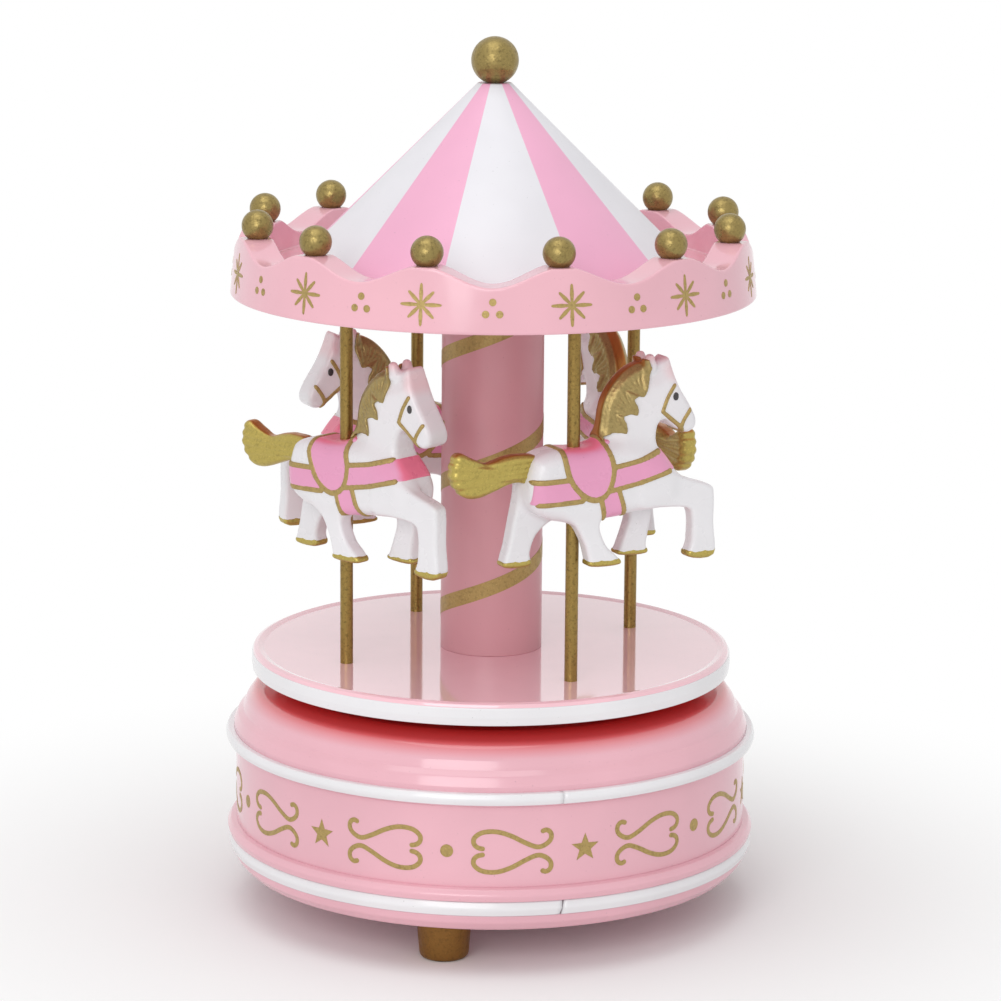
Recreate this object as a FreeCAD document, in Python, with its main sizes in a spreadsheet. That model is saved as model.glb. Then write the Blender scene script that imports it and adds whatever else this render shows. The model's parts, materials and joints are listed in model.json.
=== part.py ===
"""Wind-up carousel music box, built as an assembly of named sub-parts.

Millimetres. The floor is z = 0, +Z is up, the turning axis is the Z axis and the front is -Y.
The base stands on three feet and holds a spring-driven movement. The spring barrel, the
spindle, the turntable, the column, the poles with their horses and the canopy turn as one.
"""
import FreeCAD, Part
import math
import os
import Sketcher
from FreeCAD import Placement, Rotation, Vector

UP = Vector(0, 0, 1)
ALONG_X = Vector(1, 0, 0)
OVERRUN = 1.0  # how far a cutter runs past the face that it opens
THROUGH = 60.0  # longer than any straight bore of the movement
ARC_SHARE = 0.293  # how far the middle of a quarter arc stands in from its corner, as a share of the radius

# name, value in mm (or degrees, or a count)
SIZES = [
    # feet and base
    ("foot_height", 9.0), ("foot_top_radius", 5.5), ("foot_end_radius", 4.9), ("foot_rounding", 1.4),
    ("foot_spigot_radius", 2.5), ("foot_circle", 41.0), ("foot_angle", -102.5), ("foot_count", 3),
    ("tray_floor", 2.2), ("tray_edge_radius", 51.4), ("skirt_bulge", 1.5), ("lower_band_seat", 53.0),
    ("lower_band_low", 12.6), ("lower_band_high", 15.7), ("lower_band_radius", 54.5),
    ("band_ledge", 0.6), ("band_crown", 0.55), ("band_draft", 0.15), ("lower_joint_angle", -74.5),
    ("upper_joint_angle", -74.5),
    ("lip_radius", 54.7), ("lip_top", 18.2), ("lip_setback", 0.4), ("lip_step", 0.2), ("lip_bulge", 1.5),
    ("key_hole_radius", 4.6), ("lap_thickness", 1.6),
    ("wall_radius", 52.8), ("wall_thickness", 2.5), ("wall_top", 34.8), ("joint_lap", 2.0),
    ("upper_band_seat", 53.2), ("upper_band_low", 35.4), ("upper_band_high", 37.6),
    ("upper_band_radius", 55.0), ("band_joint_gap", 0.6),
    ("cover_top", 47.6), ("cover_flat_radius", 43.0), ("cover_thickness", 2.4),
    ("cover_corner", 1.4), ("crest_inset", 3.0), ("crest_drop", 1.1),
    ("shoulder_radius", 50.3), ("shoulder_height", 43.6), ("shoulder_foot", 38.6),
    ("cove_depth", 0.5), ("cove_rise", 2.4), ("inner_rise", 1.2), ("inner_bulge", 1.6), ("inner_drop", 0.6),
    ("post_circle", 38.0), ("post_radius", 3.0), ("post_angle", 60.0), ("post_count", 3), ("post_root", 0.4),
    ("screw_radius", 1.1), ("screw_gap", 0.1), ("boss_pilot", 0.8), ("cover_pilot", 9.0),
    ("tray_screw_head", 2.4), ("tray_screw_head_height", 0.9), ("tray_screw_length", 8.0),
    # turntable, column and poles
    ("bush_bore", 2.56), ("bush_radius", 4.5), ("bush_depth", 4.0), ("bush_flange_radius", 7.0),
    ("bush_flange", 0.9),
    ("spindle_radius", 2.5), ("spindle_seat", 1.4), ("spindle_chamfer", 0.4), ("hub_radius", 9.0),
    ("hub_bottom", 48.8),
    ("turntable_radius", 49.5), ("turntable_bottom", 50.0), ("turntable_top", 54.2),
    ("turntable_edge", 54.6), ("edge_band_depth", 0.9), ("edge_band_high", 53.0), ("edge_band_crown", 0.25),
    ("edge_setback", 0.2), ("edge_bulge", 0.4), ("edge_drop", 0.55), ("edge_inset", 0.6),
    ("groove_outer", 1.3), ("groove_middle", 1.7), ("groove_inner", 2.1), ("groove_depth", 0.25),
    ("column_radius", 10.45), ("column_bore", 8.0), ("plug_height", 6.0), ("plug_chamfer", 0.6),
    ("fit_gap", 0.1),
    ("pole_radius", 1.3), ("pole_circle", 33.4), ("pole_angle", -61.2), ("pole_socket", 2.4),
    ("pole_socket_gap", 0.05), ("pole_count", 4),
    # canopy
    ("rim_bottom", 128.1), ("rim_bottom_radius", 53.5), ("rim_top_radius", 52.2),
    ("rim_valley", 137.0), ("rim_peak", 140.8), ("ball_seat", 140.55), ("rim_inner_radius", 46.0),
    ("shelf_top", 134.0), ("shelf_bottom", 132.6), ("shelf_bore", 34.4), ("scallops", 12),
    ("ceiling_bottom", 129.6), ("ceiling_radius", 44.8),
    ("roof_base_radius", 40.4), ("roof_top_radius", 3.4), ("roof_top", 170.7), ("roof_thickness", 2.0),
    ("roof_foot", 2.0), ("roof_base_inside", 35.8),
    ("ball_radius", 3.2), ("ball_circle", 48.8), ("ball_height", 143.1),
    ("roof_tip_inside", 4.6), ("peg_gap", 0.05), ("peg_boss", 1.0),
    ("finial_radius", 4.8), ("finial_height", 175.2), ("finial_peg_radius", 1.5), ("finial_peg", 4.0),
    # spring barrel and winding
    ("bedplate_bottom", 13.0), ("bedplate_top", 15.5), ("clutch_radius", 5.0), ("clutch_bore", 2.06),
    ("clutch_drop", 0.8), ("end_play", 0.3),
    ("arbor_radius", 2.0), ("arbor_hub_radius", 3.1), ("arbor_pivot_radius", 1.5),
    ("crown_bottom", 16.3), ("crown_top", 20.6), ("crown_radius", 16.0), ("crown_face_inner", 13.4),
    ("crown_face_outer", 15.4), ("crown_tooth_top", 22.1), ("crown_teeth", 36),
    ("barrel_radius", 12.2), ("barrel_bore", 11.2), ("barrel_top", 27.6), ("barrel_cover_top", 29.6),
    ("cover_boss_radius", 4.6), ("cover_boss_top", 33.0),
    ("spring_thickness", 0.5), ("spring_pitch", 1.0), ("spring_half_turns", 15),
    ("key_hub_radius", 4.0), ("key_bottom", 2.2), ("key_top", 8.4), ("key_wing_bottom", 2.6),
    ("key_wing_thickness", 2.0), ("key_reach", 15.0), ("key_width", 9.0),
    # pinned cylinder, comb and governor
    ("cylinder_height", 25.5), ("cylinder_radius", 6.5), ("cylinder_start", 19.2), ("tracks", 18),
    ("track_pitch", 0.8), ("pin_reach", 0.6), ("pin_radius", 0.2), ("shaft_radius", 1.0),
    ("shaft_gap", 0.06), ("crown_module", 0.8), ("cylinder_pinion_teeth", 10),
    ("train_module", 0.5), ("cylinder_gear_teeth", 36), ("governor_pinion_teeth", 10),
    ("governor_shaft_radius", 0.8), ("worm_module", 0.4), ("worm_wheel_teeth", 16),
    ("worm_radius", 1.3), ("worm_x", 28.0), ("fan_radius", 5.5), ("fan_bottom", 31.9), ("fan_top", 36.6),
    ("comb_thickness", 0.8), ("comb_tip_gap", 0.3), ("comb_tooth", 0.62),
    ("comb_root_y", -20.0), ("comb_back_y", -26.0),
    # horses: height of the saddle, and how far each one is turned on its pole
    ("horse_1_saddle", 101.9), ("horse_1_turn", -3.0), ("horse_2_saddle", 100.8), ("horse_2_turn", -5.0),
    ("horse_3_saddle", 99.0), ("horse_3_turn", -4.0), ("horse_4_saddle", 100.4), ("horse_4_turn", 20.5),
]


class Size:
    """A value of the sheet, or a sum of them, with the expression that it comes from."""

    def __init__(self, value, text):
        self.value = value
        self.text = text

    def joined(self, sign, other, value):
        other_text = other.text if isinstance(other, Size) else str(other)
        return Size(value, "(" + self.text + " " + sign + " " + other_text + ")")

    def __float__(self):
        return float(self.value)

    def __add__(self, other):
        return self.joined("+", other, self.value + float(other))

    def __sub__(self, other):
        return self.joined("-", other, self.value - float(other))

    def __mul__(self, other):
        return self.joined("*", other, self.value * float(other))

    def __truediv__(self, other):
        return self.joined("/", other, self.value / float(other))

    def __neg__(self):
        return Size(-self.value, "-" + self.text)

    def root(self):
        return Size(math.sqrt(self.value), "sqrt(" + self.text + ")")


class Sizes:
    """The driving sizes, one attribute for each alias of the sheet."""


doc = FreeCAD.newDocument("carousel_music_box")
sheet = doc.addObject("Spreadsheet::Sheet", "sizes")
dim = Sizes()
for row, (alias, number) in enumerate(SIZES, start=1):
    sheet.set("A" + str(row), alias)
    sheet.set("B" + str(row), str(number))
    sheet.setAlias("B" + str(row), alias)
    setattr(dim, alias, Size(number, "sizes." + alias))
doc.recompute()
pieces = []


def bind(thing, prop, size):
    """Give a property its value and tie it to the sheet."""
    if isinstance(size, Size):
        thing.setExpression(prop, size.text)
    else:
        setattr(thing, prop, size)


def place(thing, x=0.0, y=0.0, z=0.0, rotation=Rotation()):
    """Set the Placement of a piece, with sizes from the sheet where they are given."""
    thing.Placement = Placement(Vector(float(x), float(y), float(z)), rotation)
    for axis, size in (("x", x), ("y", y), ("z", z)):
        if isinstance(size, Size):
            thing.setExpression(".Placement.Base." + axis, size.text)


def finished(thing, label):
    """Take a document object as one sub-part of the assembly."""
    thing.Label = label
    pieces.append(thing)
    return thing


def feature(label, shape):
    """A sub-part whose shape comes from a formula rather than from a sketch."""
    thing = doc.addObject("Part::Feature", label)
    thing.Shape = shape
    return finished(thing, label)


def sketch_on(body, name, role, height=0.0, turn=0.0):
    """A sketch on one of the body's own planes, lifted and turned about the plane's normal."""
    sketch = body.newObject("Sketcher::SketchObject", name)
    plane = [item for item in body.Origin.OriginFeatures if item.Role == role][0]
    sketch.AttachmentSupport = (plane, "")
    sketch.MapMode = "FlatFace"
    sketch.AttachmentOffset = Placement(Vector(0, 0, float(height)), Rotation(UP, float(turn)))
    if isinstance(height, Size):
        sketch.setExpression("AttachmentOffset.Base.z", height.text)
    if isinstance(turn, Size):
        sketch.setExpression("AttachmentOffset.Rotation.Angle", turn.text)
    return sketch


def hold(sketch, kind, element, point, size):
    """Hold one point of a sketch at a distance from the sketch's origin, across or up."""
    axis = -2 if kind == "DistanceX" else -1
    value = float(size)
    if value == 0.0:
        sketch.addConstraint(Sketcher.Constraint("PointOnObject", element, point, axis))
        return
    if value > 0.0:
        index = sketch.addConstraint(Sketcher.Constraint(kind, -1, 1, element, point, value))
        text = size.text if isinstance(size, Size) else None
    else:
        index = sketch.addConstraint(Sketcher.Constraint(kind, element, point, -1, 1, -value))
        text = "-" + size.text if isinstance(size, Size) else None
    if text:
        name = "size_" + str(index)
        sketch.renameConstraint(index, name)
        sketch.setExpression("Constraints." + name, text)


def closed_outline(sketch, corners):
    """A closed outline. A corner is (across, up), or (across, up, via) when an arc through via ends there."""
    count = len(corners)
    elements = []
    for number in range(count):
        start = Vector(float(corners[number][0]), float(corners[number][1]), 0)
        target = corners[(number + 1) % count]
        end = Vector(float(target[0]), float(target[1]), 0)
        if len(target) == 3:
            via = target[2]
            middle = Vector(float(via[0]), float(via[1]), 0)
            element = sketch.addGeometry(Part.Arc(start, middle, end))
            mark = sketch.addGeometry(Part.Point(middle), True)
            hold(sketch, "DistanceX", mark, 1, via[0])
            hold(sketch, "DistanceY", mark, 1, via[1])
            sketch.addConstraint(Sketcher.Constraint("PointOnObject", mark, 1, element))
            first, last = (1, 2) if sketch.getPoint(element, 1).isEqual(start, 1e-6) else (2, 1)
        else:
            element = sketch.addGeometry(Part.LineSegment(start, end))
            first, last = 1, 2
        elements.append((element, first, last))
    for number in range(count):
        element, first, last = elements[number]
        before = elements[number - 1]
        sketch.addConstraint(Sketcher.Constraint("Coincident", before[0], before[2], element, first))
        hold(sketch, "DistanceX", element, first, corners[number][0])
        hold(sketch, "DistanceY", element, first, corners[number][1])


def turned(label, corners, angle=360.0):
    """A body turned about the Z axis from a half section of (radius, height) corners."""
    body = doc.addObject("PartDesign::Body", label)
    sketch = sketch_on(body, label + "_section", "XZ_Plane")
    closed_outline(sketch, corners)
    turn = body.newObject("PartDesign::Revolution", label + "_turn")
    turn.Profile = sketch
    turn.ReferenceAxis = (sketch, ["V_Axis"])
    bind(turn, "Angle", angle)
    sketch.Visibility = False
    doc.recompute()
    return finished(body, label)


def round_feature(body, kind, name, radius, height, length, circle, turn, count):
    """Bores or posts of a body: a circle on a pitch circle, extruded and repeated about the axis."""
    sketch = sketch_on(body, name + "_circle", "XY_Plane", height, turn)
    ring = sketch.addGeometry(Part.Circle(Vector(float(circle), 0, 0), UP, float(radius)))
    index = sketch.addConstraint(Sketcher.Constraint("Radius", ring, float(radius)))
    sketch.renameConstraint(index, "radius")
    sketch.setExpression("Constraints.radius", radius.text)
    hold(sketch, "DistanceX", ring, 3, circle)
    hold(sketch, "DistanceY", ring, 3, 0.0)
    extrusion = body.newObject(kind, name)
    extrusion.Profile = sketch
    bind(extrusion, "Length", length)
    sketch.Visibility = False
    doc.recompute()
    if float(count) > 1:
        pattern = body.newObject("PartDesign::PolarPattern", name + "_pattern")
        pattern.Originals = [extrusion]
        pattern.Axis = (sketch, ["N_Axis"])
        pattern.Angle = 360.0
        bind(pattern, "Occurrences", count)
        body.Tip = pattern
        doc.recompute()


def bore(body, name, radius, top, depth, circle=0.0, turn=0.0, count=1):
    """Round holes that go down from a height."""
    round_feature(body, "PartDesign::Pocket", name, radius, top, depth, circle, turn, count)


def post(body, name, radius, bottom, length, circle=0.0, turn=0.0, count=1):
    """Round posts that go up from a height."""
    round_feature(body, "PartDesign::Pad", name, radius, bottom, length, circle, turn, count)


def rod(label, radius, length, x=0.0, y=0.0, z=0.0, rotation=Rotation()):
    """A plain round rod."""
    cylinder = doc.addObject("Part::Cylinder", label)
    bind(cylinder, "Radius", radius)
    bind(cylinder, "Height", length)
    place(cylinder, x, y, z, rotation)
    return finished(cylinder, label)


def box(x, y, z):
    """A block between two values on each axis."""
    corner = Vector(x[0], y[0], z[0])
    return Part.makeBox(x[1] - x[0], y[1] - y[0], z[1] - z[0], corner)


def around(shape, circle, angles):
    """Copies of a shape set out on a circle about the Z axis."""
    copies = []
    for angle in angles:
        copy = shape.copy()
        copy.translate(Vector(circle, 0, 0))
        copy.rotate(Vector(0, 0, 0), UP, angle)
        copies.append(copy)
    return copies


def screw_shape(head_radius, head_height, shank_radius, shank_length):
    """A slotted screw, head up, with the seat of its head at z = 0."""
    slot_width = head_radius * 0.3
    slot_depth = head_height * 0.45
    head = Part.makeCylinder(head_radius, head_height)
    shank = Part.makeCylinder(shank_radius, shank_length, Vector(0, 0, -shank_length))
    slot = box((-head_radius, head_radius), (-slot_width / 2, slot_width / 2),
               (head_height - slot_depth, head_height + 1.0))
    return head.fuse(shank).cut(slot).removeSplitter()


# Feet and base shell

tray_top = dim.foot_height + dim.tray_floor
wall_inner = dim.wall_radius - dim.wall_thickness
lap_outer = wall_inner - dim.fit_gap
lap_inner = lap_outer - dim.lap_thickness


def make_feet():
    """Three turned feet, each with a spigot that fills a hole in the tray."""
    first_corner = (dim.foot_end_radius - dim.foot_rounding, 0.0)
    inset = dim.foot_rounding * ARC_SHARE
    via = (dim.foot_end_radius - inset, inset)
    corners = [
        (0.0, 0.0), first_corner, (dim.foot_end_radius, dim.foot_rounding, via),
        (dim.foot_top_radius, dim.foot_height), (dim.foot_spigot_radius, dim.foot_height),
        (dim.foot_spigot_radius, tray_top), (0.0, tray_top),
    ]
    for number in range(int(dim.foot_count.value)):
        foot = turned("foot_" + str(number + 1), corners)
        angle = math.radians(float(dim.foot_angle) + number * 360.0 / float(dim.foot_count))
        place(foot, float(dim.foot_circle) * math.cos(angle), float(dim.foot_circle) * math.sin(angle))


def make_tray():
    """Bottom tray: floor, curved skirt, seat of the lower band and the lip above it."""
    lip_bottom = dim.lower_band_high
    skirt_via = (dim.tray_edge_radius + dim.skirt_bulge, dim.foot_height + dim.skirt_bulge)
    lip_via = (dim.lip_radius, lip_bottom + dim.lip_bulge)
    tray = turned("bottom_tray", [
        (dim.key_hole_radius, dim.foot_height), (dim.tray_edge_radius, dim.foot_height),
        (dim.lower_band_seat + dim.band_ledge, dim.lower_band_low, skirt_via),
        (dim.lower_band_seat, dim.lower_band_low),
        (dim.lower_band_seat, lip_bottom), (dim.lip_radius - dim.lip_setback, lip_bottom),
        (dim.wall_radius + dim.lip_step, dim.lip_top, lip_via), (lap_outer, dim.lip_top),
        (lap_outer, dim.lip_top + dim.joint_lap), (lap_inner, dim.lip_top + dim.joint_lap),
        (lap_inner, tray_top), (dim.key_hole_radius, tray_top),
    ])
    cut_top = tray_top + OVERRUN
    cut_depth = dim.tray_floor + 2 * OVERRUN
    bore(tray, "foot_holes", dim.foot_spigot_radius, cut_top, cut_depth,
         dim.foot_circle, dim.foot_angle, dim.foot_count)
    bore(tray, "cover_screw_holes", dim.screw_radius + dim.screw_gap, cut_top, cut_depth,
         dim.post_circle, dim.post_angle, dim.post_count)
    for name, x, y in MOVEMENT_SCREWS:
        reach = math.hypot(x, y)
        angle = math.degrees(math.atan2(y, x))
        rise = dim.bedplate_bottom - tray_top
        root = tray_top - dim.post_root
        post(tray, name + "_boss", dim.post_radius, root, rise + dim.post_root, reach, angle)
        pilot_depth = rise + dim.boss_pilot
        bore(tray, name + "_pilot", dim.screw_radius, dim.bedplate_bottom, pilot_depth, reach, angle)


def make_base_shell():
    """Wall, top cover and the two trim bands, each band bent to a ring with a butt joint."""
    turned("base_wall", [
        (wall_inner, dim.lip_top), (dim.wall_radius, dim.lip_top),
        (dim.wall_radius, dim.wall_top), (wall_inner, dim.wall_top),
    ])
    under = dim.cover_top - dim.cover_thickness
    cove_via = (dim.upper_band_seat - dim.cove_depth, dim.shoulder_foot + dim.cove_rise)
    crest_via = (dim.shoulder_radius - dim.crest_inset, dim.cover_top - dim.crest_drop)
    inner_via = (lap_inner - dim.inner_bulge, dim.shoulder_height - dim.inner_drop)
    cover = turned("top_cover", [
        (dim.bush_radius, dim.cover_top), (dim.bush_radius, under),
        (dim.cover_flat_radius - dim.cover_corner, under),
        (lap_inner, dim.shoulder_foot + dim.inner_rise, inner_via),
        (lap_inner, dim.wall_top - dim.joint_lap), (lap_outer, dim.wall_top - dim.joint_lap),
        (lap_outer, dim.wall_top), (dim.upper_band_seat, dim.wall_top),
        (dim.upper_band_seat, dim.shoulder_foot),
        (dim.shoulder_radius, dim.shoulder_height, cove_via),
        (dim.cover_flat_radius, dim.cover_top, crest_via),
    ])
    post(cover, "cover_posts", dim.post_radius, tray_top, under + dim.post_root - tray_top,
         dim.post_circle, dim.post_angle, dim.post_count)
    bore(cover, "cover_pilots", dim.screw_radius, tray_top + dim.cover_pilot, dim.cover_pilot + OVERRUN,
         dim.post_circle, dim.post_angle, dim.post_count)

    def band(label, seat, low, high, radius, joint_angle):
        gap_angle = dim.band_joint_gap / radius * math.degrees(1.0)
        middle = (low + high) / 2
        edge = radius - dim.band_crown
        ring = turned(label, [
            (seat, low), (edge, low + dim.band_draft), (edge, high - dim.band_draft, (radius, middle)),
            (seat, high),
        ], -gap_angle + 360.0)
        place(ring, rotation=Rotation(UP, float(joint_angle)))

    # the lower band's joint stands a little to the right of the front, the upper band's at the back
    band("upper_band", dim.upper_band_seat, dim.upper_band_low, dim.upper_band_high, dim.upper_band_radius,
         dim.upper_joint_angle)
    band("lower_band", dim.lower_band_seat, dim.lower_band_low, dim.lower_band_high, dim.lower_band_radius,
         dim.lower_joint_angle)

    bush_bottom = dim.cover_top - dim.bush_depth
    turned("spindle_bush", [
        (dim.bush_bore, bush_bottom), (dim.bush_radius, bush_bottom),
        (dim.bush_radius, dim.cover_top),
        (dim.bush_flange_radius, dim.cover_top), (dim.bush_flange_radius, dim.cover_top + dim.bush_flange),
        (dim.bush_bore, dim.cover_top + dim.bush_flange),
    ])
    shape = screw_shape(float(dim.tray_screw_head), float(dim.tray_screw_head_height),
                        float(dim.screw_radius), float(dim.tray_screw_length))
    shape.rotate(Vector(0, 0, 0), ALONG_X, 180)
    shape.translate(Vector(0, 0, float(dim.foot_height)))
    count = int(dim.post_count.value)
    angles = [float(dim.post_angle) + 360.0 / count * number for number in range(count)]
    feature("tray_screws", Part.makeCompound(around(shape, float(dim.post_circle), angles)))


# Carousel

def make_turntable():
    """Turntable with a rolled edge and sockets for the poles, its white edge band and its hub."""
    band_seat = dim.turntable_radius - dim.edge_band_depth
    groove_via = (band_seat - dim.groove_middle, dim.turntable_top - dim.groove_depth)
    edge_via = (dim.turntable_radius - dim.edge_bulge, dim.turntable_edge - dim.edge_drop)
    table = turned("turntable", [
        (dim.spindle_radius, dim.turntable_bottom), (band_seat, dim.turntable_bottom),
        (band_seat, dim.edge_band_high), (dim.turntable_radius - dim.edge_setback, dim.edge_band_high),
        (band_seat - dim.edge_inset, dim.turntable_edge, edge_via),
        (band_seat - dim.groove_outer, dim.turntable_top),
        (band_seat - dim.groove_inner, dim.turntable_top, groove_via),
        (dim.spindle_radius, dim.turntable_top),
    ])
    bore(table, "pole_sockets", dim.pole_radius + dim.pole_socket_gap, dim.turntable_top, dim.pole_socket,
         dim.pole_circle, dim.pole_angle, dim.pole_count)
    middle = (dim.turntable_bottom + dim.edge_band_high) / 2
    band_edge = dim.turntable_radius - dim.edge_band_crown
    turned("turntable_band", [
        (band_seat, dim.turntable_bottom), (band_edge, dim.turntable_bottom),
        (band_edge, dim.edge_band_high, (dim.turntable_radius, middle)),
        (band_seat, dim.edge_band_high),
    ])
    turned("turntable_hub", [
        (dim.spindle_radius, dim.hub_bottom), (dim.hub_radius, dim.hub_bottom),
        (dim.hub_radius, dim.turntable_bottom), (dim.spindle_radius, dim.turntable_bottom),
    ])
    spindle_bottom = dim.barrel_top + dim.spindle_seat
    spindle_top = dim.turntable_top + dim.plug_height
    turned("drive_spindle", [
        (0.0, spindle_bottom), (dim.spindle_radius, spindle_bottom),
        (dim.spindle_radius, spindle_top - dim.spindle_chamfer),
        (dim.spindle_radius - dim.spindle_chamfer, spindle_top), (0.0, spindle_top),
    ])


def make_column_and_poles():
    """Hollow centre column on two plugs, and four poles in blind sockets."""
    turned("centre_column", [
        (dim.column_bore, dim.turntable_top), (dim.column_radius, dim.turntable_top),
        (dim.column_radius, dim.ceiling_bottom), (dim.column_bore, dim.ceiling_bottom),
    ])
    plug_radius = dim.column_bore - dim.fit_gap
    tip_radius = plug_radius - dim.plug_chamfer
    lower_tip = dim.turntable_top + dim.plug_height
    upper_tip = dim.ceiling_bottom - dim.plug_height
    turned("lower_plug", [
        (dim.spindle_radius, dim.turntable_top), (plug_radius, dim.turntable_top),
        (plug_radius, lower_tip - dim.plug_chamfer), (tip_radius, lower_tip), (dim.spindle_radius, lower_tip),
    ])
    turned("upper_plug", [
        (0.0, upper_tip), (tip_radius, upper_tip), (plug_radius, upper_tip + dim.plug_chamfer),
        (plug_radius, dim.ceiling_bottom), (0.0, dim.ceiling_bottom),
    ])
    pole_bottom = dim.turntable_top - dim.pole_socket
    pole_length = dim.ceiling_bottom + dim.pole_socket - pole_bottom
    for number in range(int(dim.pole_count.value)):
        x, y = pole_spot(number)
        rod("pole_" + str(number + 1), dim.pole_radius, pole_length, x, y, pole_bottom)


def pole_spot(number):
    """Where a pole stands. The first is right of the front and the rest follow anticlockwise."""
    angle = math.radians(float(dim.pole_angle) + 360.0 / float(dim.pole_count) * number)
    return float(dim.pole_circle) * math.cos(angle), float(dim.pole_circle) * math.sin(angle)


def wave_height(angle):
    """Height of the scalloped top edge of the rim: a cosine with a peak 15 degrees from the front."""
    middle = (float(dim.rim_peak) + float(dim.rim_valley)) / 2
    swing = (float(dim.rim_peak) - float(dim.rim_valley)) / 2
    return middle + swing * math.cos(float(dim.scallops) * (angle - first_peak()))


def first_peak():
    """Angle of the first peak of the rim, in radians from +X."""
    return math.radians(-90.0 + 180.0 / float(dim.scallops))


def wave_curve(radius):
    """Closed curve that follows the wave of the rim on a cylinder."""
    steps = int(dim.scallops.value) * 8
    points = []
    for step in range(steps):
        angle = 2 * math.pi * step / steps
        points.append(Vector(radius * math.cos(angle), radius * math.sin(angle), wave_height(angle)))
    curve = Part.BSplineCurve()
    curve.interpolate(points, PeriodicFlag=True)
    return curve.toShape()


def make_rim():
    """Scalloped canopy rim: a turned ring with a shelf, its top edge cut to the wave."""
    outer_low = float(dim.rim_bottom_radius)
    outer_high = float(dim.rim_top_radius)
    inner = float(dim.rim_inner_radius)
    seat = float(dim.ball_seat)
    shelf = float(dim.shelf_top)
    recess = float(dim.ceiling_radius) + float(dim.fit_gap)
    corners = [
        (float(dim.shelf_bore), float(dim.shelf_bottom)), (recess, float(dim.shelf_bottom)),
        (recess, float(dim.rim_bottom)), (outer_low, float(dim.rim_bottom)),
        (outer_high, seat), (inner, seat), (inner, shelf), (float(dim.shelf_bore), shelf),
    ]
    points = [Vector(radius, 0, height) for radius, height in corners]
    section = Part.Face(Part.makePolygon(points + points[:1]))
    ring = section.revolve(Vector(0, 0, 0), UP, 360)
    cut_depth = 6.0
    cut_surface = Part.makeRuledSurface(wave_curve(inner - OVERRUN), wave_curve(outer_low + OVERRUN))
    feature("canopy_rim", ring.cut(cut_surface.extrude(UP * cut_depth)))


def make_rim_balls():
    """One ball on each peak of the rim, flattened where it is glued on."""
    radius = float(dim.ball_radius)
    drop = float(dim.ball_seat) - float(dim.ball_height)
    ball = Part.makeSphere(radius)
    ball = ball.cut(box((-radius, radius), (-radius, radius), (-2 * radius, drop)))
    ball.translate(Vector(0, 0, float(dim.ball_height)))
    count = int(dim.scallops.value)
    angles = [math.degrees(first_peak()) + 360.0 / count * number for number in range(count)]
    feature("rim_balls", Part.makeCompound(around(ball, float(dim.ball_circle), angles)))


def make_canopy():
    """Ceiling disc, rim with its balls, conical roof and finial."""
    ceiling = turned("canopy_ceiling", [
        (0.0, dim.ceiling_bottom), (dim.ceiling_radius, dim.ceiling_bottom),
        (dim.ceiling_radius, dim.shelf_bottom), (0.0, dim.shelf_bottom),
    ])
    bore(ceiling, "pole_holes", dim.pole_radius + dim.pole_socket_gap, dim.ceiling_bottom + dim.pole_socket,
         dim.pole_socket, dim.pole_circle, dim.pole_angle, dim.pole_count)
    make_rim()
    make_rim_balls()
    spigot = dim.shelf_bore - dim.fit_gap
    peg_bore = dim.finial_peg_radius + dim.peg_gap
    boss_bottom = dim.roof_top - dim.finial_peg - dim.peg_boss
    turned("canopy_roof", [
        (peg_bore, dim.roof_top), (peg_bore, boss_bottom), (dim.roof_tip_inside, boss_bottom),
        (dim.roof_base_inside, dim.shelf_top + dim.roof_foot),
        (spigot - dim.roof_thickness, dim.shelf_top + dim.roof_foot),
        (spigot - dim.roof_thickness, dim.shelf_bottom),
        (spigot, dim.shelf_bottom), (spigot, dim.shelf_top),
        (dim.roof_base_radius, dim.shelf_top), (dim.roof_top_radius, dim.roof_top),
    ])
    flat_drop = dim.finial_height - dim.roof_top
    flat_radius = (dim.finial_radius * dim.finial_radius - flat_drop * flat_drop).root()
    turned("finial_ball", [
        (0.0, dim.roof_top - dim.finial_peg), (dim.finial_peg_radius, dim.roof_top - dim.finial_peg),
        (dim.finial_peg_radius, dim.roof_top), (flat_radius, dim.roof_top),
        (0.0, dim.finial_height + dim.finial_radius, (dim.finial_radius, dim.finial_height)),
    ])


# Horses. Outlines are (forward, up) from the point where the pole enters the saddle.

TORSO = [
    (-9.8, -2.4), (-5.5, -0.7), (0.0, -0.3), (5.5, 0.9), (11.0, 0.3), (17.0, -1.4), (21.4, -5.6),
    (21.2, -10.2), (16.0, -13.2), (8.0, -14.9), (0.0, -15.5), (-6.0, -14.9), (-10.4, -12.0), (-11.4, -7.0),
]
NECK_AND_HEAD = [
    (5.4, -1.0), (6.2, 6.2), (8.6, 11.4), (12.2, 15.4), (16.0, 17.2), (19.6, 16.6), (22.6, 12.8),
    (25.6, 8.2), (26.5, 5.6), (25.0, 3.8), (22.4, 4.5), (19.4, 6.2), (17.6, 4.2), (17.8, 0.0),
    (19.4, -5.0), (12.0, -7.5),
]
MANE = [
    (5.0, 2.4), (4.8, 6.4), (6.2, 11.0), (9.8, 15.4), (14.4, 17.9), (16.4, 15.4), (15.8, 10.9),
    (13.6, 10.9), (14.4, 6.8), (11.6, 7.2), (11.9, 3.4), (8.4, 4.0),
]
TAIL = [
    (-8.6, -2.4), (-12.5, -1.9), (-16.1, -2.3), (-20.0, -2.9), (-23.0, -2.0), (-25.3, -1.2), (-27.3, -2.8),
    (-27.9, -6.2), (-26.0, -9.4), (-22.8, -10.6), (-19.6, -9.6), (-16.0, -7.6), (-12.0, -7.0), (-8.6, -7.4),
]
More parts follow.
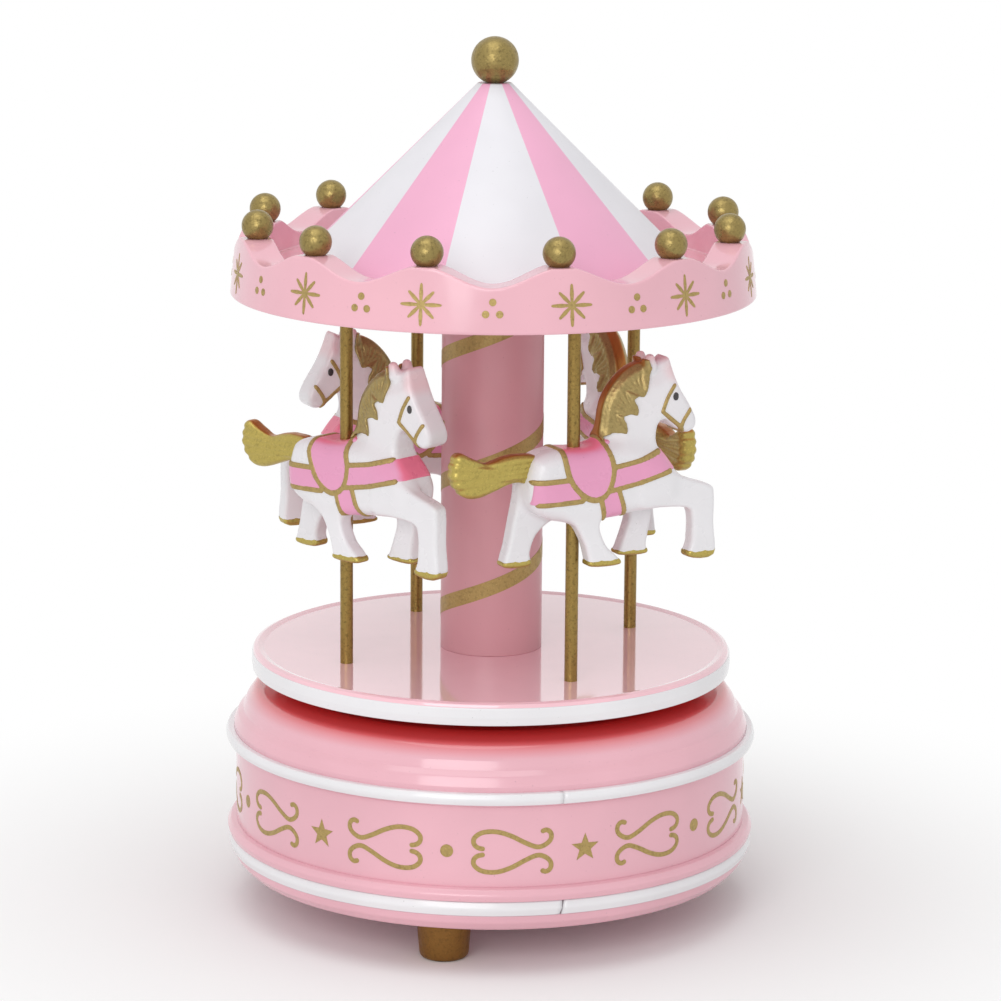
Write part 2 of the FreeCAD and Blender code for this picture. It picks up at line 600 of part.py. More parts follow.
# Legs are stations of level oval sections: (up, middle forward, half depth).
RAISED_SHIN = [
    (-9.8, 26.9, 2.2), (-13.0, 26.9, 2.9), (-18.0, 26.7, 2.7), (-20.6, 26.5, 2.9), (-22.2, 26.5, 3.2),
]
FOLDED_FORELEG = [
    (-8.0, 15.5, 2.9), (-13.0, 15.5, 2.7), (-18.0, 14.2, 2.7), (-20.4, 13.2, 3.0), (-21.8, 13.0, 3.4),
]
FORWARD_HINDLEG = [
    (-8.0, 0.8, 4.2), (-13.0, 1.6, 3.8), (-16.4, 2.4, 2.8), (-20.6, 3.4, 2.7), (-22.6, 4.5, 3.4),
    (-24.0, 4.8, 3.4),
]
TRAILING_HINDLEG = [
    (-7.0, -8.0, 3.2), (-11.0, -9.2, 3.6), (-15.6, -10.8, 3.6), (-20.4, -12.2, 3.1), (-22.4, -12.5, 3.3),
    (-23.8, -12.5, 3.4),
]
# The raised thigh reaches forward in upright oval sections: (forward, middle up, half height).
RAISED_THIGH = [(14.0, -8.0, 4.0), (20.0, -9.0, 3.8), (24.4, -10.2, 3.0), (28.6, -11.2, 1.9)]
LEG_SIDE = 2.8
LEG_HALF_WIDTH = 2.1
THIGH_HALF_WIDTH = 2.05
EAR_SIDE = 1.9
# half width and edge rounding of each slab of the horse
TORSO_SLAB = (5.2, 2.6)
NECK_SLAB = (3.0, 1.3)
MANE_SLAB = (3.5, 0.0)
TAIL_SLAB = (2.5, 1.2)


def oval(centre, long_axis, half_long, half_width):
    """An oval wire whose width runs across the horse."""
    if half_long >= half_width:
        points = [centre + long_axis * half_long, centre + Vector(0, half_width, 0), centre]
    else:
        points = [centre + Vector(0, half_width, 0), centre + long_axis * half_long, centre]
    return Part.Wire(Part.Ellipse(*points).toShape())


def leg(stations, side):
    """A leg lofted through level ovals, on one side of the horse."""
    wires = []
    for up, forward, half_depth in stations:
        wires.append(oval(Vector(forward, side, up), ALONG_X, half_depth, LEG_HALF_WIDTH))
    return Part.makeLoft(wires, True, False)


def thigh(stations, side):
    """A raised thigh lofted through upright ovals."""
    wires = []
    for forward, up, half_height in stations:
        wires.append(oval(Vector(forward, side, up), UP, half_height, THIGH_HALF_WIDTH))
    return Part.makeLoft(wires, True, False)


def ear(side):
    """A small pointed ear that leans back."""
    root_radius = 1.4
    tip_radius = 0.4
    length = 4.4
    return Part.makeCone(root_radius, tip_radius, length, Vector(17.2, side, 15.2), Vector(-0.25, 0, 1))


def slab(outline, half_width, rounding):
    """A smooth closed outline, thickened to both sides, with its edges rounded."""
    points = [Vector(forward, -half_width, up) for forward, up in outline]
    curve = Part.BSplineCurve()
    curve.interpolate(points, PeriodicFlag=True)
    face = Part.Face(Part.Wire(curve.toShape()))
    solid = face.extrude(Vector(0, 2 * half_width, 0))
    if rounding == 0.0:
        return solid
    rims = [edge for edge in solid.Edges if edge.BoundBox.YLength < 1e-6]
    return solid.makeFillet(rounding, rims)


def horse_shape():
    """One horse, looking along +X, with the pole's bore through saddle and belly."""
    torso = slab(TORSO, *TORSO_SLAB)
    others = [
        slab(NECK_AND_HEAD, *NECK_SLAB),
        slab(MANE, *MANE_SLAB),
        slab(TAIL, *TAIL_SLAB),
        thigh(RAISED_THIGH, -LEG_SIDE),
        leg(RAISED_SHIN, -LEG_SIDE),
        leg(FOLDED_FORELEG, LEG_SIDE),
        leg(FORWARD_HINDLEG, -LEG_SIDE),
        leg(TRAILING_HINDLEG, LEG_SIDE),
        ear(-EAR_SIDE),
        ear(EAR_SIDE),
    ]
    horse = torso.fuse(others)
    bore_radius = float(dim.pole_radius) + float(dim.pole_socket_gap)
    return horse.cut(Part.makeCylinder(bore_radius, THROUGH, Vector(0, 0, -THROUGH / 2)))


def make_horses():
    """Four horses from one mould, each threaded on its pole and facing anticlockwise."""
    shape = horse_shape()
    for number in range(int(dim.pole_count.value)):
        name = "horse_" + str(number + 1)
        horse = feature(name, shape)
        x, y = pole_spot(number)
        pole_step = 360.0 / float(dim.pole_count)
        heading = float(dim.pole_angle) + pole_step * number + 90.0 + float(getattr(dim, name + "_turn"))
        place(horse, x, y, getattr(dim, name + "_saddle"), Rotation(UP, heading))


# Spring barrel and winding

MOVEMENT_SCREWS = [("left_front", -13.6, -13.6), ("left_back", -13.6, 13.6), ("right", 39.4, -13.0)]
BEDPLATE_OUTLINE = [(-18.0, -18.0), (14.0, -18.0), (17.0, -27.0), (37.0, -27.0), (43.0, -17.0),
                    (43.0, 9.0), (36.0, 20.0), (16.0, 20.0), (14.0, 18.0), (-18.0, 18.0)]


def make_bedplate():
    """Movement plate with the comb's rest standing on it, and the screws that hold it down."""
    low = float(dim.bedplate_bottom)
    high = float(dim.bedplate_top)
    points = [Vector(x, y, low) for x, y in BEDPLATE_OUTLINE]
    plate = Part.Face(Part.makePolygon(points + points[:1])).extrude(UP * (high - low))
    rest_front = float(dim.comb_root_y) - 0.5
    rest_root = high - 0.2
    rest = box(COMB_SPAN, (float(dim.comb_back_y), rest_front), (rest_root, comb_low()))
    plate = plate.fuse(rest)
    plate = plate.cut(Part.makeCylinder(float(dim.clutch_radius), THROUGH, Vector(0, 0, low - OVERRUN)))
    hole = float(dim.screw_radius) + float(dim.screw_gap)
    for name, x, y in MOVEMENT_SCREWS:
        plate = plate.cut(Part.makeCylinder(hole, THROUGH, Vector(x, y, low - OVERRUN)))
    comb_hole_bottom = comb_low() - COMB_SCREW_LENGTH - 0.5
    for x, y in comb_screw_spots():
        hole = Part.makeCylinder(COMB_SCREW_RADIUS + PIVOT_GAP, THROUGH, Vector(x, y, comb_hole_bottom))
        plate = plate.cut(hole)
    worm_x, worm_y = worm_spot()
    pivot_spot = Vector(worm_x, worm_y, high - WORM_PIVOT_DEPTH)
    pivot_hole = Part.makeCylinder(WORM_PIVOT_RADIUS + PIVOT_GAP, THROUGH, pivot_spot)
    plate = plate.cut(pivot_hole)
    feature("bedplate", plate.removeSplitter())
    screw = screw_shape(2.2, 1.2, float(dim.screw_radius) - 0.02, 4.0)
    screw.translate(Vector(0, 0, high))
    screws = []
    for name, x, y in MOVEMENT_SCREWS:
        copy = screw.copy()
        copy.translate(Vector(x, y, 0))
        screws.append(copy)
    feature("movement_screws", Part.makeCompound(screws))


def make_crown_gear():
    """Crown gear under the barrel: a bored disc with straight teeth standing on its face."""
    bottom = float(dim.crown_bottom)
    top = float(dim.crown_top)
    teeth = int(dim.crown_teeth.value)
    disc = Part.makeCylinder(float(dim.crown_radius), top - bottom, Vector(0, 0, bottom))
    disc = disc.cut(Part.makeCylinder(float(dim.clutch_bore), top + OVERRUN))
    foot_half = 0.72
    tip_half = 0.2
    inner = float(dim.crown_face_inner)
    sunk = 0.3
    tip = float(dim.crown_tooth_top)
    corners = [
        (-foot_half, top - sunk), (foot_half, top - sunk), (foot_half, top),
        (tip_half, tip), (-tip_half, tip), (-foot_half, top),
    ]
    points = [Vector(inner, across, height) for across, height in corners]
    tooth = Part.Face(Part.makePolygon(points + points[:1]))
    tooth = tooth.extrude(ALONG_X * (float(dim.crown_face_outer) - inner))
    angles = [360.0 / teeth * number for number in range(teeth)]
    feature("crown_gear", disc.fuse(around(tooth, 0.0, angles)).removeSplitter())


def spring_edge(shift):
    """One edge of the wound mainspring: half circles about two centres, growing by half a pitch."""
    step = float(dim.spring_pitch) / 2
    radius = float(dim.arbor_hub_radius) + 0.7 + shift
    arcs = []
    for number in range(int(dim.spring_half_turns.value)):
        side = 1 if number % 2 == 0 else -1
        centre = 0.0 if number % 2 == 0 else -step
        start = Vector(centre + side * radius, 0, 0)
        middle = Vector(centre, side * radius, 0)
        end = Vector(centre - side * radius, 0, 0)
        arcs.append(Part.Arc(start, middle, end).toShape())
        radius += step
    return Part.Wire(arcs)


def make_spring():
    """Flat spiral mainspring that fills the barrel between the arbor and the barrel wall."""
    half = float(dim.spring_thickness) / 2
    inner = spring_edge(-half)
    outer = spring_edge(half)
    ends = []
    for index in (0, -1):
        first = inner.OrderedVertexes[index].Point
        last = outer.OrderedVertexes[index].Point
        ends.append(Part.makeLine(first, last))
    face = Part.Face(Part.Wire(Part.__sortEdges__(inner.Edges + outer.Edges + ends)))
    gap = 0.5
    bottom = float(dim.crown_top) + gap
    spring = feature("mainspring", face.extrude(UP * (float(dim.barrel_top) - gap - bottom)))
    place(spring, z=bottom)


def make_winding():
    """Spring barrel with its cover, the arbor, the one-way clutch and the key under the base."""
    turned("spring_barrel", [
        (dim.barrel_bore, dim.crown_top), (dim.barrel_radius, dim.crown_top),
        (dim.barrel_radius, dim.barrel_top), (dim.barrel_bore, dim.barrel_top),
    ])
    pivot_bore = dim.arbor_pivot_radius + dim.shaft_gap
    seat = dim.barrel_top + dim.spindle_seat
    turned("barrel_cover", [
        (pivot_bore, dim.barrel_top), (dim.barrel_radius, dim.barrel_top),
        (dim.barrel_radius, dim.barrel_cover_top), (dim.cover_boss_radius, dim.barrel_cover_top),
        (dim.cover_boss_radius, dim.cover_boss_top), (dim.spindle_radius, dim.cover_boss_top),
        (dim.spindle_radius, seat), (pivot_bore, seat),
    ])
    make_spring()
    hub_low = dim.crown_top + dim.end_play
    hub_high = dim.barrel_top - dim.end_play
    pivot_top = seat - dim.end_play
    turned("winding_arbor", [
        (0.0, dim.key_bottom), (dim.arbor_radius, dim.key_bottom), (dim.arbor_radius, hub_low),
        (dim.arbor_hub_radius, hub_low), (dim.arbor_hub_radius, hub_high),
        (dim.arbor_pivot_radius, hub_high), (dim.arbor_pivot_radius, pivot_top), (0.0, pivot_top),
    ])
    clutch_bottom = dim.bedplate_bottom - dim.clutch_drop
    turned("one_way_clutch", [
        (dim.clutch_bore, clutch_bottom), (dim.clutch_radius, clutch_bottom),
        (dim.clutch_radius, dim.bedplate_top), (dim.clutch_bore, dim.bedplate_top),
    ])


def make_key():
    """Low winding key: a hub on the arbor and two flat rounded wings, each with a finger hole."""
    low = float(dim.key_wing_bottom)
    thick = float(dim.key_wing_thickness)
    half_width = float(dim.key_width) / 2
    reach = float(dim.key_reach) - half_width
    half_waist = half_width * 0.55
    wings = box((-reach, reach), (-half_waist, half_waist), (low, low + thick))
    for side in (-1, 1):
        wings = wings.fuse(Part.makeCylinder(half_width, thick, Vector(side * reach, 0, low)))
    hole_radius = half_width * 0.45
    for side in (-1, 1):
        wings = wings.cut(Part.makeCylinder(hole_radius, 3 * thick, Vector(side * reach, 0, low - thick)))
    bottom = float(dim.key_bottom)
    hub = Part.makeCylinder(float(dim.key_hub_radius), float(dim.key_top) - bottom, Vector(0, 0, bottom))
    key = wings.fuse(hub).cut(Part.makeCylinder(float(dim.arbor_radius), THROUGH))
    feature("winding_key", key.removeSplitter())


# Gear train

PRESSURE_ANGLE = math.radians(20.0)


def gear_shape(teeth, module, tooth_width, addendum, dedendum, width, bore_radius):
    """A spur gear along +X from x = 0, with one tooth centred on +Z."""
    pitch_radius = teeth * module / 2
    base_radius = pitch_radius * math.cos(PRESSURE_ANGLE)
    tip_radius = pitch_radius + addendum
    root_radius = pitch_radius - dedendum
    low_radius = max(base_radius, root_radius)

    def half_angle(radius):
        slope = math.acos(min(1.0, base_radius / radius))
        roll = math.tan(slope) - slope
        pitch_roll = math.tan(PRESSURE_ANGLE) - PRESSURE_ANGLE
        return tooth_width / (2 * pitch_radius) + pitch_roll - roll

    def spot(radius, angle):
        return Vector(0, -radius * math.sin(angle), radius * math.cos(angle))

    middle_radius = (low_radius + tip_radius) / 2
    edges = []
    for number in range(teeth):
        centre = 2 * math.pi * number / teeth
        flank = {}
        for side in (-1, 1):
            flank[side] = [spot(root_radius, centre + side * half_angle(low_radius)),
                           spot(low_radius, centre + side * half_angle(low_radius)),
                           spot(middle_radius, centre + side * half_angle(middle_radius)),
                           spot(tip_radius, centre + side * half_angle(tip_radius))]
        if root_radius < low_radius:
            edges.append(Part.makeLine(flank[-1][0], flank[-1][1]))
            edges.append(Part.makeLine(flank[1][1], flank[1][0]))
        edges.append(Part.Arc(*flank[-1][1:]).toShape())
        edges.append(Part.makeLine(flank[-1][3], flank[1][3]))
        edges.append(Part.Arc(*flank[1][1:]).toShape())
        step = 2 * math.pi / teeth
        root_end = spot(root_radius, centre + step - half_angle(low_radius))
        root_middle = spot(root_radius, centre + step / 2)
        edges.append(Part.Arc(flank[1][0], root_middle, root_end).toShape())
    face = Part.Face(Part.Wire(Part.__sortEdges__(edges)))
    gear = face.extrude(ALONG_X * width)
    return gear.cut(Part.makeCylinder(bore_radius, width + 2 * OVERRUN, Vector(-OVERRUN, 0, 0), ALONG_X))


TRACK_END = float(dim.cylinder_start) + float(dim.tracks) * float(dim.track_pitch)
GEAR_X = TRACK_END + 0.6
GEAR_WIDTH = 1.6
FAR_BRACKET_X = (GEAR_X + GEAR_WIDTH + 0.8, GEAR_X + GEAR_WIDTH + 2.4)
NEAR_BRACKET_X = (16.4, 18.4)
COMB_SPAN = (float(dim.cylinder_start) - 0.2, TRACK_END + 0.2)
COMB_SCREW_RADIUS = 0.9
COMB_SCREW_LENGTH = 5.0
WORM_PIVOT_RADIUS = 0.6
WORM_PIVOT_DEPTH = 1.2
PIVOT_GAP = 0.05
# width at the pitch circle, height above it and depth below it
CROWN_PINION_TOOTH = (1.05, 0.6, 0.9)
TRAIN_GEAR_TOOTH = (0.68, 0.3, 0.6)
TRAIN_PINION_TOOTH = (0.66, 0.4, 0.6)
WORM_WHEEL_TOOTH = (0.4, 0.32, 0.5)


def governor_y():
    """The governor's shaft lies behind the cylinder at the centre distance of their gears."""
    return float(dim.train_module) * (dim.cylinder_gear_teeth.value + dim.governor_pinion_teeth.value) / 2


def worm_spot():
    """Axis of the upright worm, behind the worm wheel."""
    wheel_radius = float(dim.worm_module) * dim.worm_wheel_teeth.value / 2
    return float(dim.worm_x), governor_y() + wheel_radius + float(dim.worm_radius)


def comb_low():
    """Underside of the comb, whose teeth point at the cylinder's axis."""
    return float(dim.cylinder_height) - float(dim.comb_thickness) / 2


def comb_screw_spots():
    """Where the two comb screws stand."""
    middle_y = (float(dim.comb_back_y) + float(dim.comb_root_y)) / 2 - 0.4
    return [(COMB_SPAN[0] + 3.0, middle_y), (COMB_SPAN[1] - 3.0, middle_y)]


def make_cylinder():
    """Pinned cylinder on its shaft, with the pinion from the crown gear and the gear to the governor."""
    shaft = float(dim.shaft_radius)
    start = float(dim.cylinder_start)
    radius = float(dim.cylinder_radius)
    pitch = float(dim.track_pitch)
    drum = Part.makeCylinder(radius, TRACK_END - start, Vector(start, 0, 0), ALONG_X)
    drum = drum.cut(Part.makeCylinder(shaft, THROUGH, Vector(0, 0, 0), ALONG_X))
    pins = []
    golden_angle = 137.5
    first_angle = 20.0
    pins_on_track = 3
    pin_root = radius - 0.5
    pin_tip = radius + float(dim.pin_reach)
    for track in range(int(dim.tracks.value)):
        for number in range(pins_on_track):
            pin = Part.makeCylinder(float(dim.pin_radius), pin_tip - pin_root, Vector(0, 0, pin_root))
            pin.translate(Vector(start + pitch * (track + 0.5), 0, 0))
            angle = first_angle + golden_angle * (track * pins_on_track + number)
            pin.rotate(Vector(0, 0, 0), ALONG_X, angle)
            pins.append(pin)
    place(feature("melody_cylinder", drum.fuse(pins)), z=dim.cylinder_height)

    pinion_x = float(dim.crown_face_inner)
    shaft_end = FAR_BRACKET_X[1] + 0.6
    rod("cylinder_shaft", dim.shaft_radius, shaft_end - pinion_x, pinion_x, 0.0, dim.cylinder_height,
        Rotation(Vector(0, 1, 0), 90))
    teeth = int(dim.cylinder_pinion_teeth.value)
    width = float(dim.crown_face_outer) - pinion_x
    pinion = gear_shape(teeth, float(dim.crown_module), *CROWN_PINION_TOOTH, width, shaft)
    # a gap of the pinion faces straight down, over a tooth of the crown gear
    place(feature("cylinder_pinion", pinion), x=pinion_x, z=dim.cylinder_height,
          rotation=Rotation(ALONG_X, 180.0 + 180.0 / teeth))
    gear_teeth = int(dim.cylinder_gear_teeth.value)
    gear = gear_shape(gear_teeth, float(dim.train_module), *TRAIN_GEAR_TOOTH, GEAR_WIDTH, shaft)
    # a tooth of the gear faces the governor's pinion
    place(feature("cylinder_gear", gear), x=GEAR_X, z=dim.cylinder_height, rotation=Rotation(ALONG_X, -90.0))


def make_brackets():
    """The two upright brackets that carry the cylinder's shaft, each with a foot on the bedplate."""
    floor = float(dim.bedplate_top)
    height = float(dim.cylinder_height)
    bore_radius = float(dim.shaft_radius) + float(dim.shaft_gap)
    half_width = 4.0
    foot_thickness = 1.0
    foot_length = 3.6
    sunk = 0.2
    for label, span in (("near_bracket", NEAR_BRACKET_X), ("far_bracket", FAR_BRACKET_X)):
        sides = (-half_width, half_width)
        upright = box(span, sides, (floor, height))
        crown = Part.makeCylinder(half_width, span[1] - span[0], Vector(span[0], 0, height), ALONG_X)
        foot = box((span[1] - sunk, span[1] + foot_length), sides, (floor, floor + foot_thickness))
        bracket = upright.fuse([crown, foot])
        bracket = bracket.cut(Part.makeCylinder(bore_radius, THROUGH, Vector(0, 0, height), ALONG_X))
        feature(label, bracket.removeSplitter())


def make_comb():
    """Steel comb with graded teeth whose tips stand just clear of the pins, and its two screws."""
    low = comb_low()
    high = low + float(dim.comb_thickness)
    tip = -(float(dim.cylinder_radius) + float(dim.pin_reach) + float(dim.comb_tip_gap))
    root = float(dim.comb_root_y)
    comb = box(COMB_SPAN, (float(dim.comb_back_y), root), (low, high))
    count = int(dim.tracks.value)
    tooth = float(dim.comb_tooth)
    grading = 3.0
    sunk = root - 0.2
    teeth = []
    for track in range(count):
        middle = float(dim.cylinder_start) + float(dim.track_pitch) * (track + 0.5)
        graded_root = root + grading * track / count
        teeth.append(box((middle - tooth / 2, middle + tooth / 2), (sunk, tip), (low, high)))
        if graded_root > root:
            half_pitch = float(dim.track_pitch) / 2
            span = (middle - half_pitch, middle + half_pitch)
            teeth.append(box(span, (sunk, graded_root), (low, high)))
    comb = comb.fuse(teeth)
    for x, y in comb_screw_spots():
        hole_spot = Vector(x, y, low - OVERRUN)
        comb = comb.cut(Part.makeCylinder(COMB_SCREW_RADIUS + PIVOT_GAP, THROUGH, hole_spot))
    feature("comb", comb.removeSplitter())
    screws = []
    for x, y in comb_screw_spots():
        screw = screw_shape(1.9, 1.1, COMB_SCREW_RADIUS, COMB_SCREW_LENGTH)
        screw.translate(Vector(x, y, high))
        screws.append(screw)
    feature("comb_screws", Part.makeCompound(screws))


def make_governor():
    """Air-brake governor: shaft with pinion and worm wheel, upright worm and two-bladed fan."""
    height = float(dim.cylinder_height)
    floor = float(dim.bedplate_top)
    y = governor_y()
    shaft = float(dim.governor_shaft_radius)
    worm_x, worm_y = worm_spot()
    wheel_width = 1.2
    ear_gap = 2.8
    ear = 1.2
    ears = [(worm_x - ear_gap - ear, worm_x - ear_gap), (worm_x + ear_gap, worm_x + ear_gap + ear)]
    bridge_low = 30.0
    bridge_high = 31.2

    shaft_start = ears[0][0] - 0.4
    shaft_end = GEAR_X + GEAR_WIDTH + 0.4
    rod("governor_shaft", dim.governor_shaft_radius, shaft_end - shaft_start, shaft_start, y,
        dim.cylinder_height, Rotation(Vector(0, 1, 0), 90))
    teeth = int(dim.governor_pinion_teeth.value)
    pinion = gear_shape(teeth, float(dim.train_module), *TRAIN_PINION_TOOTH, GEAR_WIDTH, shaft)
    # a gap of the pinion faces the cylinder's gear
    place(feature("governor_pinion", pinion), x=GEAR_X, y=y, z=dim.cylinder_height,
          rotation=Rotation(ALONG_X, 90.0 + 180.0 / teeth))
    wheel_teeth = int(dim.worm_wheel_teeth.value)
    wheel = gear_shape(wheel_teeth, float(dim.worm_module), *WORM_WHEEL_TOOTH, wheel_width, shaft)
    # a tooth of the wheel faces the worm
    place(feature("worm_wheel", wheel), x=worm_x - wheel_width / 2, y=y, z=dim.cylinder_height,
          rotation=Rotation(ALONG_X, -90.0))

    front = y - 2.4
    back = worm_y + 2.6
    frame = box((ears[0][0], ears[1][1]), (front, back), (floor, bridge_high))
    inside = (ears[0][1], ears[1][0])
    opening = box(inside, (front - OVERRUN, back + OVERRUN), (floor - OVERRUN, bridge_low))
    shaft_hole = Part.makeCylinder(shaft + float(dim.shaft_gap), THROUGH, Vector(0, y, height), ALONG_X)
    pivot_hole = Part.makeCylinder(WORM_PIVOT_RADIUS + PIVOT_GAP, THROUGH, Vector(worm_x, worm_y, floor))
    frame = frame.cut([opening, shaft_hole, pivot_hole])
    feature("governor_frame", frame)
    make_worm(worm_x, worm_y, height, floor)
    make_fan(worm_x, worm_y)


def make_worm(x, y, height, floor):
    """Upright right-hand worm on its pivots."""
    lead = math.pi * float(dim.worm_module)
    depth = 0.32
    core_radius = float(dim.worm_radius) - 0.5
    crest_radius = float(dim.worm_radius) + depth
    turns = 4
    length = lead * turns
    helix = Part.makeHelix(lead, length, core_radius)
    foot_half = 0.3
    crest_half = 0.12
    sunk = 0.1
    corners = [(core_radius - sunk, -foot_half), (crest_radius, -crest_half),
               (crest_radius, crest_half), (core_radius - sunk, foot_half)]
    points = [Vector(radius, 0, rise) for radius, rise in corners]
    profile = Part.makePolygon(points + points[:1])
    thread = Part.Wire(helix).makePipeShell([profile], True, True)
    core = Part.makeCylinder(core_radius, length + 2.0, Vector(0, 0, -1.0))
    worm = core.fuse(thread)
    worm.translate(Vector(0, 0, -length / 2))
    # a gap of the thread faces the wheel, which lies on the -Y side
    worm.rotate(Vector(0, 0, 0), UP, 90.0)
    low = floor - 1.0 - height
    high = float(dim.fan_top) - height
    worm = worm.fuse(Part.makeCylinder(WORM_PIVOT_RADIUS, high - low, Vector(0, 0, low)))
    place(feature("governor_worm", worm), x=x, y=y, z=height)


def make_fan(x, y):
    """Two-bladed air-brake fan on top of the worm's shaft."""
    low = float(dim.fan_bottom)
    high = float(dim.fan_top)
    reach = float(dim.fan_radius)
    blade_half = 0.25
    hub = Part.makeCylinder(1.6, high - low, Vector(0, 0, low))
    blades = box((-reach, reach), (-blade_half, blade_half), (low + 0.3, high - 0.3))
    fan = hub.fuse(blades).cut(Part.makeCylinder(WORM_PIVOT_RADIUS, THROUGH))
    place(feature("governor_fan", fan.removeSplitter()), x=x, y=y)


make_feet()
make_tray()
make_base_shell()
make_bedplate()
make_winding()
make_key()
make_crown_gear()
make_cylinder()
make_brackets()
make_comb()
make_governor()
make_turntable()
make_column_and_poles()
make_horses()
make_canopy()
doc.recompute()

for thing in doc.Objects:
    if "Invalid" in thing.State or "Error" in thing.State:
        raise RuntimeError(thing.Label + " did not recompute")
os.makedirs("parts", exist_ok=True)
for piece in pieces:
    if piece.Shape.isNull() or not piece.Shape.isValid() or not piece.Shape.Solids:
        raise RuntimeError(piece.Label + " has no valid solid")
    piece.Shape.exportStep("parts/" + piece.Label + ".step")
    print(piece.Label, len(piece.Shape.Solids), "solids", round(piece.Shape.Volume, 1), "mm3")
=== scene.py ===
"""Looks of the carousel music box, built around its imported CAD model.

Shapes are worked out in millimetres in the frame of the CAD model and become metres
when a piece is made. The floor is z = 0, the turning axis is the Z axis, the front is -Y.
"""
import json
import math

import bmesh
import bpy
import numpy as np
from bpy.props import FloatProperty, FloatVectorProperty, IntProperty, PointerProperty
from bpy.types import NodeSocket, Operator, Panel, PropertyGroup
from mathutils import Matrix, Vector


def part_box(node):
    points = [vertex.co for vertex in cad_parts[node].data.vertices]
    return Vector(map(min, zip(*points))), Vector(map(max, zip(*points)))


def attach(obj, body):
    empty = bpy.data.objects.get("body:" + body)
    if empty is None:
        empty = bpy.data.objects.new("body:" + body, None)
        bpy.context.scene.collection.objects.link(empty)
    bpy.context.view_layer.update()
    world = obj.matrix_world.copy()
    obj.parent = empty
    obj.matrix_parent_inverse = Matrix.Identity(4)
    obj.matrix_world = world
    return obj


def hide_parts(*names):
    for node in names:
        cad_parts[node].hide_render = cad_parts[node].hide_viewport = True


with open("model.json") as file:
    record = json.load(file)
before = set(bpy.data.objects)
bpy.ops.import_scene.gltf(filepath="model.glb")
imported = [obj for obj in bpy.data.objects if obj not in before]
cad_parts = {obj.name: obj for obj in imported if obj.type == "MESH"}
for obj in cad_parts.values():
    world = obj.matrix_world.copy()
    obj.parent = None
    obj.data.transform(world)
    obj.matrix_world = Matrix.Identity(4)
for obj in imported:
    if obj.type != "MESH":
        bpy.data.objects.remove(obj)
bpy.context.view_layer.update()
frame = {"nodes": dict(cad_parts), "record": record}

bl_info = {
    "name": "Carousel music box",
    "version": (1, 0, 0),
    "blender": (4, 5, 0),
    "location": "3D View > Sidebar > Carousel",
    "description": "Builds the mouldings, prints, horses and finishes of a carousel music box",
    "category": "Object",
}

MM = 0.001
FAR = 1e9
WELD = 1e-7
TURN_STEPS = 360
CORNER_STEPS = 6
# largest part of an edge that one rounded corner may take
CORNER_SHARE = 0.49
# distance from a corner of the extra points that keep a straight run flat
GUARD = 0.25
# how far the prints reach into the plastic
PRINT_SINK = 0.04
FINISHES = {}


# Settings

def length(name, description, default_mm):
    return FloatProperty(name=name, description=description, default=default_mm * MM, unit="LENGTH",
                         precision=5)


def colour(name, description, default):
    return FloatVectorProperty(name=name, description=description, default=default, subtype="COLOR",
                               min=0.0, max=1.0)


def light(name, description, default, unit="NONE"):
    return FloatProperty(name=name, description=description, default=default, min=0.0, unit=unit)


class CarouselSizes(PropertyGroup):
    print_lift: length("Print thickness", "How far the gold prints stand out of the plastic", 0.06)
    ribbon_pitch: length("Ribbon pitch", "Height of one turn of the ribbon around the column", 26.0)
    ribbon_width: length("Ribbon width", "Upright width of the ribbon", 3.3)
    star_reach: length("Star reach", "Length of the long rays of the stars on the rim", 4.1)
    dot_radius: length("Dot radius", "Radius of the small dots on the rim", 0.72)
    wall_dot_radius: length("Wall dot radius", "Radius of the dots on the base wall", 1.3)
    scroll_width: length("Scroll stroke", "Width of the strokes of the heart scrolls", 0.95)
    carving_step: length("Carving step", "Fineness of the carved horses", 0.3)
    paint_lift: length("Paint thickness", "How far the painted harness stands out of the horse", 0.16)
    stripe_count: IntProperty(name="Stripes", description="Stripes of the roof, pink and white", default=10,
                              min=2, max=60)


class CarouselColours(PropertyGroup):
    pink: colour("Pink plastic", "Glossy pink of the base and rim", (0.84, 0.46, 0.53))
    table: colour("Turntable pink", "Polished pink of the turntable", (0.94, 0.56, 0.63))
    column: colour("Column pink", "Satin pink of the centre column", (0.70, 0.35, 0.39))
    roof_pink: colour("Roof pink", "Pink stripes of the roof", (0.88, 0.44, 0.62))
    roof_white: colour("Roof white", "White stripes of the roof", (0.80, 0.79, 0.83))
    white: colour("White trim", "White bands", (0.84, 0.83, 0.85))
    horse: colour("Horse white", "White plastic of the horses", (0.84, 0.83, 0.85))
    saddle: colour("Saddle pink", "Pink of the saddles and straps", (0.84, 0.36, 0.56))
    hot_pink: colour("Hot pink", "Deeper pink on the seat and the chest", (0.88, 0.20, 0.32))
    gold_paint: colour("Gold paint", "Gold of the balls on rim and roof", (0.30, 0.225, 0.08))
    gold_print: colour("Gold print", "Gold of the printed ornaments", (0.42, 0.30, 0.105))
    hair: colour("Gold hair", "Gold of the tails and hooves", (0.47, 0.37, 0.095))
    mane: colour("Mane gold", "Darker gold of the manes", (0.36, 0.27, 0.105))
    pole: colour("Pole metal", "Dark gold of the poles", (0.30, 0.20, 0.055))
    foot: colour("Foot gold", "Brown gold of the feet", (0.24, 0.115, 0.022))
    eye: colour("Eye", "Dark paint of the eyes", (0.035, 0.03, 0.03))
    nylon: colour("Gear nylon", "Pale plastic of the gears in the base", (0.78, 0.76, 0.70))
    # painted shade: this red stands in for light bounced from pink to pink in the gap under the turntable
    gap: colour("Gap red", "Red of the pink faces in the gap under the turntable", (0.70, 0.055, 0.055))
    hair_edge: colour("Hair edge", "Brown shade on the edges of manes and tails", (0.40, 0.13, 0.02))
    # pink of ears and forehead: airbrush, together with painted reflection of the pink carousel around the
    # horses
    blush: colour("Blush", "Airbrushed pink of ears and forehead", (0.87, 0.46, 0.48))


